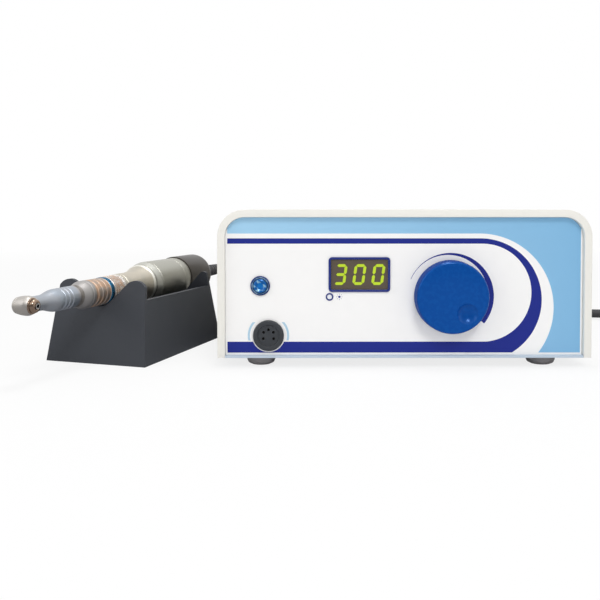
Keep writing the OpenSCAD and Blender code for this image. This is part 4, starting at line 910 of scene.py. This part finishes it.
def makeHeadCap():
    end, back = headShape["end"], headShape["back"]
    rim = headReach(end)
    outline = [(0, end), (rim - 1.2, end, 0.4), (rim - 0.35, end + 0.35, 0.5)]
    outline += headLine(end + 1.2, back - 0.2)
    outline += [(headReach(back) - 0.15, back, 0), (4.6, back), (4.6, back - 0.3), (1.8, back - 0.3),
                (1.8, -6.2), (0, -6.2)]
    return onHead(turnPiece("headCap", outline, 0))


def makeBush():
    low, front, out = headShape["brassFrom"], headShape["front"], headShape["bushEnd"]
    r, bore, rim, step = headShape["bushRadius"], headShape["bushBore"], headReach(low), front + 0.7
    outline = [(bore, low), (rim - 0.1, low, 0), (rim, low + 0.2, 0.1), (rim - 0.1, front - 0.1, 0.2),
               (rim - 0.5, front + 0.2, 0.2), (r - 0.5, front + 0.2, 0.2), (r - 0.5, front + 0.6, 0.1)]
    outline += arcLine(2.3, step, r - 2.3, out - step, 10) + [(bore, out - 0.3, 0)]
    return onHead(turnPiece("headBush", outline, 0.1))


handPieces = [
    (makeNose, "handpiece", "nose_sleeve"),
    (makeMotorBody, "handpiece", "motor_housing"),
    (makeMarker, "handpiece", "marker_ring"),
    (makeRearCap, "handpiece", "rear_cap"),
    (makeBoot, "handpiece", "cord_boot"),
    (makeChuck, "chuck", "chuck_ring"),
    (makeSheath, "attachment", "attachment_sheath"),
    (makeHeadShell, "attachment", "head_shell"),
    (makeHeadCap, "attachment", "head_cap"),
    (makeBush, "attachment", "head_bush"),
]
for make, body, nodeName in handPieces:
    dress(smoothPiece(make()), body, nodeName)
print("handpiece turned:", len(handPieces), "pieces")

# control unit
knobShape = {"radius": 24.4, "height": 11, "lift": 0.5, "taper": 0.3, "round": 2.0, "bore": 3.02,
             "dimpleAt": 14, "dimpleAngle": -49, "dimpleRadius": 6.9, "dimpleDepth": 2.9, "dimpleEdge": 0.35}


def makeKnob():
    k = knobShape
    r, tall, soft, bore, deep = k["radius"], k["height"], k["round"], k["bore"], k["dimpleDepth"]
    outline = [(bore, 3.2), (6, 3.2), (6, 6.6), (20.6, 6.6), (21.6, 0), (r, 0, 0.4), (r, 1.2, 0.8)]
    outline += arcLine(r - k["taper"] - soft, tall - 0.4 - soft, soft, soft, 8)
    outline += [(12, tall - 0.12, 0), (0, tall), (0, 8.4), (bore, 8.4)]
    knob = turnPiece("speedKnob", outline, 0.2, 128)
    ball = (k["dimpleRadius"] ** 2 + deep ** 2) / (2 * deep)
    angle = math.radians(k["dimpleAngle"])
    at = (k["dimpleAt"] * math.cos(angle), k["dimpleAt"] * math.sin(angle), tall - 0.2 - deep + ball)
    clearSelection()
    bpy.ops.mesh.primitive_uv_sphere_add(segments=96, ring_count=64, radius=ball * mm, location=metres(at))
    cutAway(knob, bpy.context.object)
    softenEdges(knob, k["dimpleEdge"], angle=20)
    return placePiece(knob, (knobAt[0], filmFront - k["lift"], knobAt[1]), (90, 0, 0))


# small turned fittings: node, body, where they stand, softness of the edges, steps round, and an outline
# of radius and height over that face
turnedFittings = {
    "selectButton": ("select_button", "button", onPanel, buttonAt, 0.2, 64, [
        (0, -4.5), (4.9, -4.5), (4.9, 1.5), (4.6, 2.3, 0.4), (3.9, 2.7, 0.5), (3.3, 2.6, 0.4),
        (2.2, 1.9, 0.6), (1.4, 2.0, 0.4), (0, 2.2)]),
    "buttonRing": ("select_ring", "control_unit", onPanel, buttonAt, 0.3, 64, [
        (5.1, -3), (5.8, -3), (5.8, 0), (6.6, 0), (6.6, 0.9), (5.95, 1.5), (5.1, 1.5)]),
    "lampRing": ("lamp_ring", "control_unit", onPanel, lampAt, 0.12, 48, [
        (1.72, -3), (2.0, -3), (2.0, 0), (2.6, 0), (2.6, 0.3), (2.3, 0.6), (1.72, 0.6)]),
    "runLamp": ("run_lamp", "control_unit", onPanel, lampAt, 0.1, 48, [
        (0, -8), (1.7, -8), (1.7, 0.3, 0.2), (1.45, 0.55, 0.2), (0.8, 0.68, 0.3), (0, 0.72)]),
    "motorSocket": ("motor_socket", "control_unit", onPanel, (-91, 21.5), 0.2, 96, [
        (7.2, -16), (8.6, -16), (8.6, 0), (10.4, 0), (10.4, 1.4, 0.8), (9.7, 2.0, 0.6), (7.7, 2.0),
        (7.2, 1.5)]),
    "footJack": ("foot_jack", "control_unit", onRear, (-85, 47), 0.2, 64, [
        (0, -17), (5, -17), (5, 0), (6.2, 0), (6.2, 1), (5.2, 1.5), (3.7, 1.5), (3.2, 1.0), (3.2, -13.5),
        (0, -13.5)]),
}
for name, (nodeName, body, put, at, soft, steps, outline) in turnedFittings.items():
    dress(smoothPiece(put(turnPiece(name, outline, soft, steps), *at)), body, nodeName)

glandShape = {"x": 85, "z": 28, "radius": 7, "tip": 5, "flange": 9, "flangeThick": 3, "length": 34,
              "ribs": 6, "ribRoom": 7}


def makeGland():
    g = glandShape
    r, tip, low, end = g["radius"], g["tip"], g["flangeThick"], g["flangeThick"] + g["length"]
    outline = [(0, -8), (r, -8), (r, 0), (g["flange"], 0), (g["flange"], 2), (8, low)]
    outline += ribLine(low, end, r, tip, g["ribRoom"], range(g["ribs"]),
                       ((0.1, 0), (0.55, 0), (0.62, 0.8), (1.03, 0.8)))
    outline += [(tip, end - 0.1 * g["length"]), (tip, end), (0, end)]
    return onRear(turnPiece("mainsGland", outline, 0.3, 64), g["x"], g["z"])


# plug of the motor cord: heights along its axis, which lies along X
plugShape = {"at": (3, 215, 10), "ring": (24, 38), "ringRadius": 10, "flutes": 20, "fluteEdge": 0.25,
             "fluteDeep": 0.5, "sleeve": 8.5, "grooves": 3, "groovePitch": 2.6, "spigot": 6.6, "mouth": 5.6,
             "end": 46, "pins": (-30, 35, 90, 145, 210), "pinCircle": 4, "pin": 0.7}


def makeMotorPlug():
    p = plugShape
    low, high = p["ring"]
    end, wide, sleeve, spigot, mouth = p["end"], p["ringRadius"], p["sleeve"], p["spigot"], p["mouth"]
    outline = [(0, 0), (4.7, 0), (5.0, 3, 0.3), (4.4, 3.6, 0.3), (4.5, 5.2, 0.3), (5.3, 5.8, 0.3),
               (5.6, 8, 0.3), (5.0, 8.6, 0.3), (5.1, 10, 0.3), (6.0, 10.6, 0.3), (6.0, 12), (7.5, 12),
               (sleeve, 14)]
    for i in range(p["grooves"]):
        at = 15.2 + p["groovePitch"] * i
        outline += [(sleeve, at), (sleeve - 0.6, at + 0.4), (sleeve - 0.6, at + 1.2), (sleeve, at + 1.6)]
    outline += [(sleeve, low), (wide, low, 0.5), (wide, high, 0.5), (spigot, high), (spigot, end),
                (mouth, end), (mouth, end - 5), (0, end - 5)]
    plug = turnPiece("motorPlug", outline, 0.2, 80)
    flute = 360 / p["flutes"]

    def isFlute(face):
        # finger flutes along the coupling ring: every second pair of faces
        centre = face.calc_center_median() / mm
        around = math.degrees(math.atan2(centre.y, centre.x)) % flute
        onRing = low + 1 < centre.z < high - 1 and centre.xy.length > wide - 0.4
        return onRing and around < flute / 2

    openEdit(plug)
    pick(plug, "FACE", isFlute)
    bpy.ops.mesh.inset(thickness=p["fluteEdge"] * mm, depth=-p["fluteDeep"] * mm)
    closeEdit()
    pinLine = [(0, end - 5.5), (p["pin"], end - 5.5), (p["pin"], end - 1), (0.3, end - 0.4), (0, end - 0.4)]
    turns = [math.radians(angle) for angle in p["pins"]]
    places = [(p["pinCircle"] * math.cos(turn), p["pinCircle"] * math.sin(turn), 0) for turn in turns]
    pins = copyTo(turnPiece("plugPin", pinLine, 0.15, 16), "plugPin", places)
    return placePiece(joinPieces([plug, pins]), p["at"], (0, 90, 0))


# mains plug: a body that narrows to the cord, with grip ridges, and two pins; it points along -Y
mainsPlugShape = {"at": (333.475, 8, 14.1), "neck": 14, "length": 42, "width": 37, "height": 28.2,
                  "narrow": 0.78, "edge": 3.5, "ridges": 5, "ridgePitch": 2.8, "ridge": (1.8, 1.3, 15.51),
                  "pin": 2.4, "pinLength": 19, "pinPitch": 19}


def makeMainsPlug():
    m = mainsPlugShape
    x, y, z = m["at"]
    depth = m["length"] - m["neck"]
    body = addBlock((m["width"], depth, m["height"]))
    body.name = body.data.name = "mainsPlug"
    applyPlace()
    openEdit(body)
    pick(body, "FACE", lambda face: face.normal.y > 0.9)
    bpy.ops.transform.resize(value=(m["narrow"], 1, m["narrow"]), center_override=(0, 0, 0))
    closeEdit()
    softenEdges(body, m["edge"], 5)
    for side in (-1, 1):
        for i in range(m["ridges"]):
            along = -0.34 * depth + m["ridgePitch"] * i
            wide = m["width"] / 2 * (1 - (1 - m["narrow"]) * (along / depth + 0.5))
            cutAway(body, addBlock(m["ridge"], (side * wide, along, 0)))
    placePiece(body, (x, y - m["neck"] - depth / 2, z), (0, 0, 0))
    outline = [(0, 0), (5.4, 0), (5.6, 2.4), (4.9, 3.0), (5.0, 4.6), (5.8, 5.2), (5.9, 7.4), (5.2, 8.0),
               (5.3, 9.6), (6.0, 10.2), (6.0, 15), (0, 15)]
    neck = placePiece(turnPiece("plugNeck", outline, 0.3, 48), m["at"], (90, 0, 0))
    return joinPieces([body, neck])


def makePlugPins():
    m = mainsPlugShape
    x, y, z = m["at"]
    low, high, r = m["length"] - 1, m["length"] + m["pinLength"], m["pin"]
    outline = [(0, low), (r, low), (r, high - 2, 0.6), (1.5, high - 0.3, 0.6), (0, high)]
    places = [(x + side * m["pinPitch"], y, z) for side in (-0.5, 0.5)]
    return copyTo(turnPiece("plugPins", outline, 0.2, 32), "plugPins", places, (90, 0, 0))


footPlaces = [(x, y, 0) for x in (-96.5, 96.5) for y in (-77, 77)]
postPlaces = [(x, y, 0) for x in (-117.5, 117.5) for y in (-65, 65)]


def makeFeet():
    outline = [(3.5, 0), (6.6, 0, 0.8), (8.8, 1.0, 1.2), (9.7, 3.0, 1), (10, 7), (1.52, 7), (1.52, 2.8),
               (3.5, 2.8)]
    return copyTo(turnPiece("rubberFoot", outline, 0.25, 64), "rubberFeet", footPlaces)


unitPieces = [
    (makeKnob, "knob", "speed_knob"),
    (makeGland, "control_unit", "mains_gland"),
    (makeMotorPlug, "handpiece", "motor_plug"),
    (makeMainsPlug, "control_unit", "mains_plug"),
    (makeFeet, "control_unit", "rubber_feet"),
]
for make, body, nodeName in unitPieces:
    dress(smoothPiece(make()), body, nodeName)
plugPins = smoothPiece(makePlugPins())
dress(plugPins, "control_unit", slotName="steel")

# screws under the unit: node, places, and height of the head's under side
screwShape = {"radius": 1.5, "length": 10.5, "head": 3, "headHeight": 2, "slot": (4.4, 0.7, 1.8)}
screwSets = {"footScrews": ("foot_screws", footPlaces, 0.8), "coverScrews": ("cover_screws", postPlaces, 5)}


def makeScrews(name, places, low):
    s = screwShape
    head, shank, under, top = s["head"], s["radius"], low + s["headHeight"], low + s["length"]
    outline = [(0, low), (head - 0.7, low, 0.3), (head, low + 0.9, 0.4), (head, under), (shank, under),
               (shank, top), (0, top)]
    screw = turnPiece(name, outline, 0.15, 48)
    for turn in (0, math.pi / 2):
        cutAway(screw, addBlock(s["slot"], (0, 0, low), turn))
    return copyTo(screw, name, places)


for name, (nodeName, places, low) in screwSets.items():
    dress(smoothPiece(makeScrews(name, places, low)), "control_unit", nodeName)
print("control unit fittings made:", len(turnedFittings) + len(unitPieces) + len(screwSets), "pieces")

# moulded pieces that keep their CAD form and get rounded edges: width of the edge, in millimetres
mouldings = [
    ("case_cover", "caseCover", "control_unit", 0.9),
    ("base_tray", "baseTray", "control_unit", 0.4),
    ("rear_panel", "rearPanel", "control_unit", 0.5),
    ("display_frame_ring", "displayFrame", "control_unit", 0.35),
    ("stand_shell", "standShell", "stand", 0.8),
    ("rocker_housing", "rockerHousing", "control_unit", 0.4),
    ("power_rocker", "powerRocker", "rocker", 0.3),
    ("hand_tie", "handTie", "handpiece", 0.3),
    ("mains_tie", "mainsTie", "control_unit", 0.3),
]
for nodeName, pieceName, body, edge in mouldings:
    made = copyNode(nodeName, pieceName)
    softenEdges(made, edge)
    dress(smoothPiece(made), body, nodeName)
print("mouldings rounded:", len(mouldings), "pieces")

# floor, white room and soft lamps
stageLight = {"floorSize": 14, "floorTone": (244, 244, 244), "floorMirrored": (172, 172, 174),
              "floorNear": 0.8, "floorFar": 1.0, "fade": (0.25, 1.5), "room": 0.56, "roomFront": 0.25}
clearSelection()
bpy.ops.mesh.primitive_plane_add(size=stageLight["floorSize"], location=(0, 4, 0))
floor = bpy.context.object
floor.name = "floor"
applyPlace()
floorFinish, shader, place = newFinish("paleFloor")
tree = floorFinish.node_tree
made = grainOf(place, srgb(*stageLight["floorTone"]), 300.0, 0.02, 0.7)
path = addNode(tree, "ShaderNodeLightPath").outputs
# reflections find a darker table
tint = mixColour(path["Is Glossy Ray"], made["Colour"], srgb(*stageLight["floorMirrored"]))
setInputs(shader, Base_Color=tint, Roughness=made["Roughness"], Specular_IOR_Level=0.0)
# the floor turns white with the distance, so that no line shows where it ends
reach = nodeFrom("ShaderNodeVectorMath", place, operation="LENGTH").outputs["Value"]
own = span(reach, *stageLight["fade"], stageLight["floorNear"], stageLight["floorFar"])
white = addNode(tree, "ShaderNodeEmission").outputs[0]
share = calc("MULTIPLY", path["Is Camera Ray"], own)
blend = nodeFrom("ShaderNodeMixShader", share, shader.outputs[0], white)
feed(blend.outputs[0], tree.nodes["Material Output"].inputs["Surface"])
floor.data.materials.append(floorFinish)
floor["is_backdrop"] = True

world = bpy.data.worlds.new("whiteRoom")
bpy.context.scene.world = world
world.use_nodes = True
tree = world.node_tree
room = tree.nodes["Background"]
path = addNode(tree, "ShaderNodeLightPath").outputs
# reflections find the room darker on the side that the camera stands on
around = addNode(tree, "ShaderNodeTexCoord").outputs["Generated"]
x, y, z = nodeFrom("ShaderNodeSeparateXYZ", around).outputs
mirrored = calc("MAXIMUM", span(y, -0.8, -0.1, stageLight["roomFront"], 1.0), span(z, 0.3, 0.8))
mirrorRay = calc("MAXIMUM", path["Is Glossy Ray"], path["Is Transmission Ray"])
inside = span(mirrorRay, 0.0, 1.0, stageLight["room"], mirrored)
setInputs(room, Strength=span(path["Is Camera Ray"], 0.0, 1.0, inside, 1.0), Color=(1, 1, 1, 1))

# lamps: place, target, size in metres and power in watts
lamps = [
    ("keyLamp", (0.2, -1.3, 1.3), (0.0, -0.05, 0.05), 0.55, 9.5),
    ("fillLamp", (-1.3, -0.7, 0.8), (-0.15, -0.05, 0.05), 0.9, 3.2),
    ("topLamp", (0.0, -0.05, 1.3), (0.0, 0.0, 0.05), 0.35, 4.0),
]
for name, at, target, size, power in lamps:
    aim = (Vector(target) - Vector(at)).to_track_quat("-Z", "Y").to_euler()
    clearSelection()
    bpy.ops.object.light_add(type="AREA", location=at, rotation=aim)
    lamp = bpy.context.object
    lamp.name = name
    lamp.data.size = size
    lamp.data.energy = power
print("stage lit")

low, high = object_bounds()
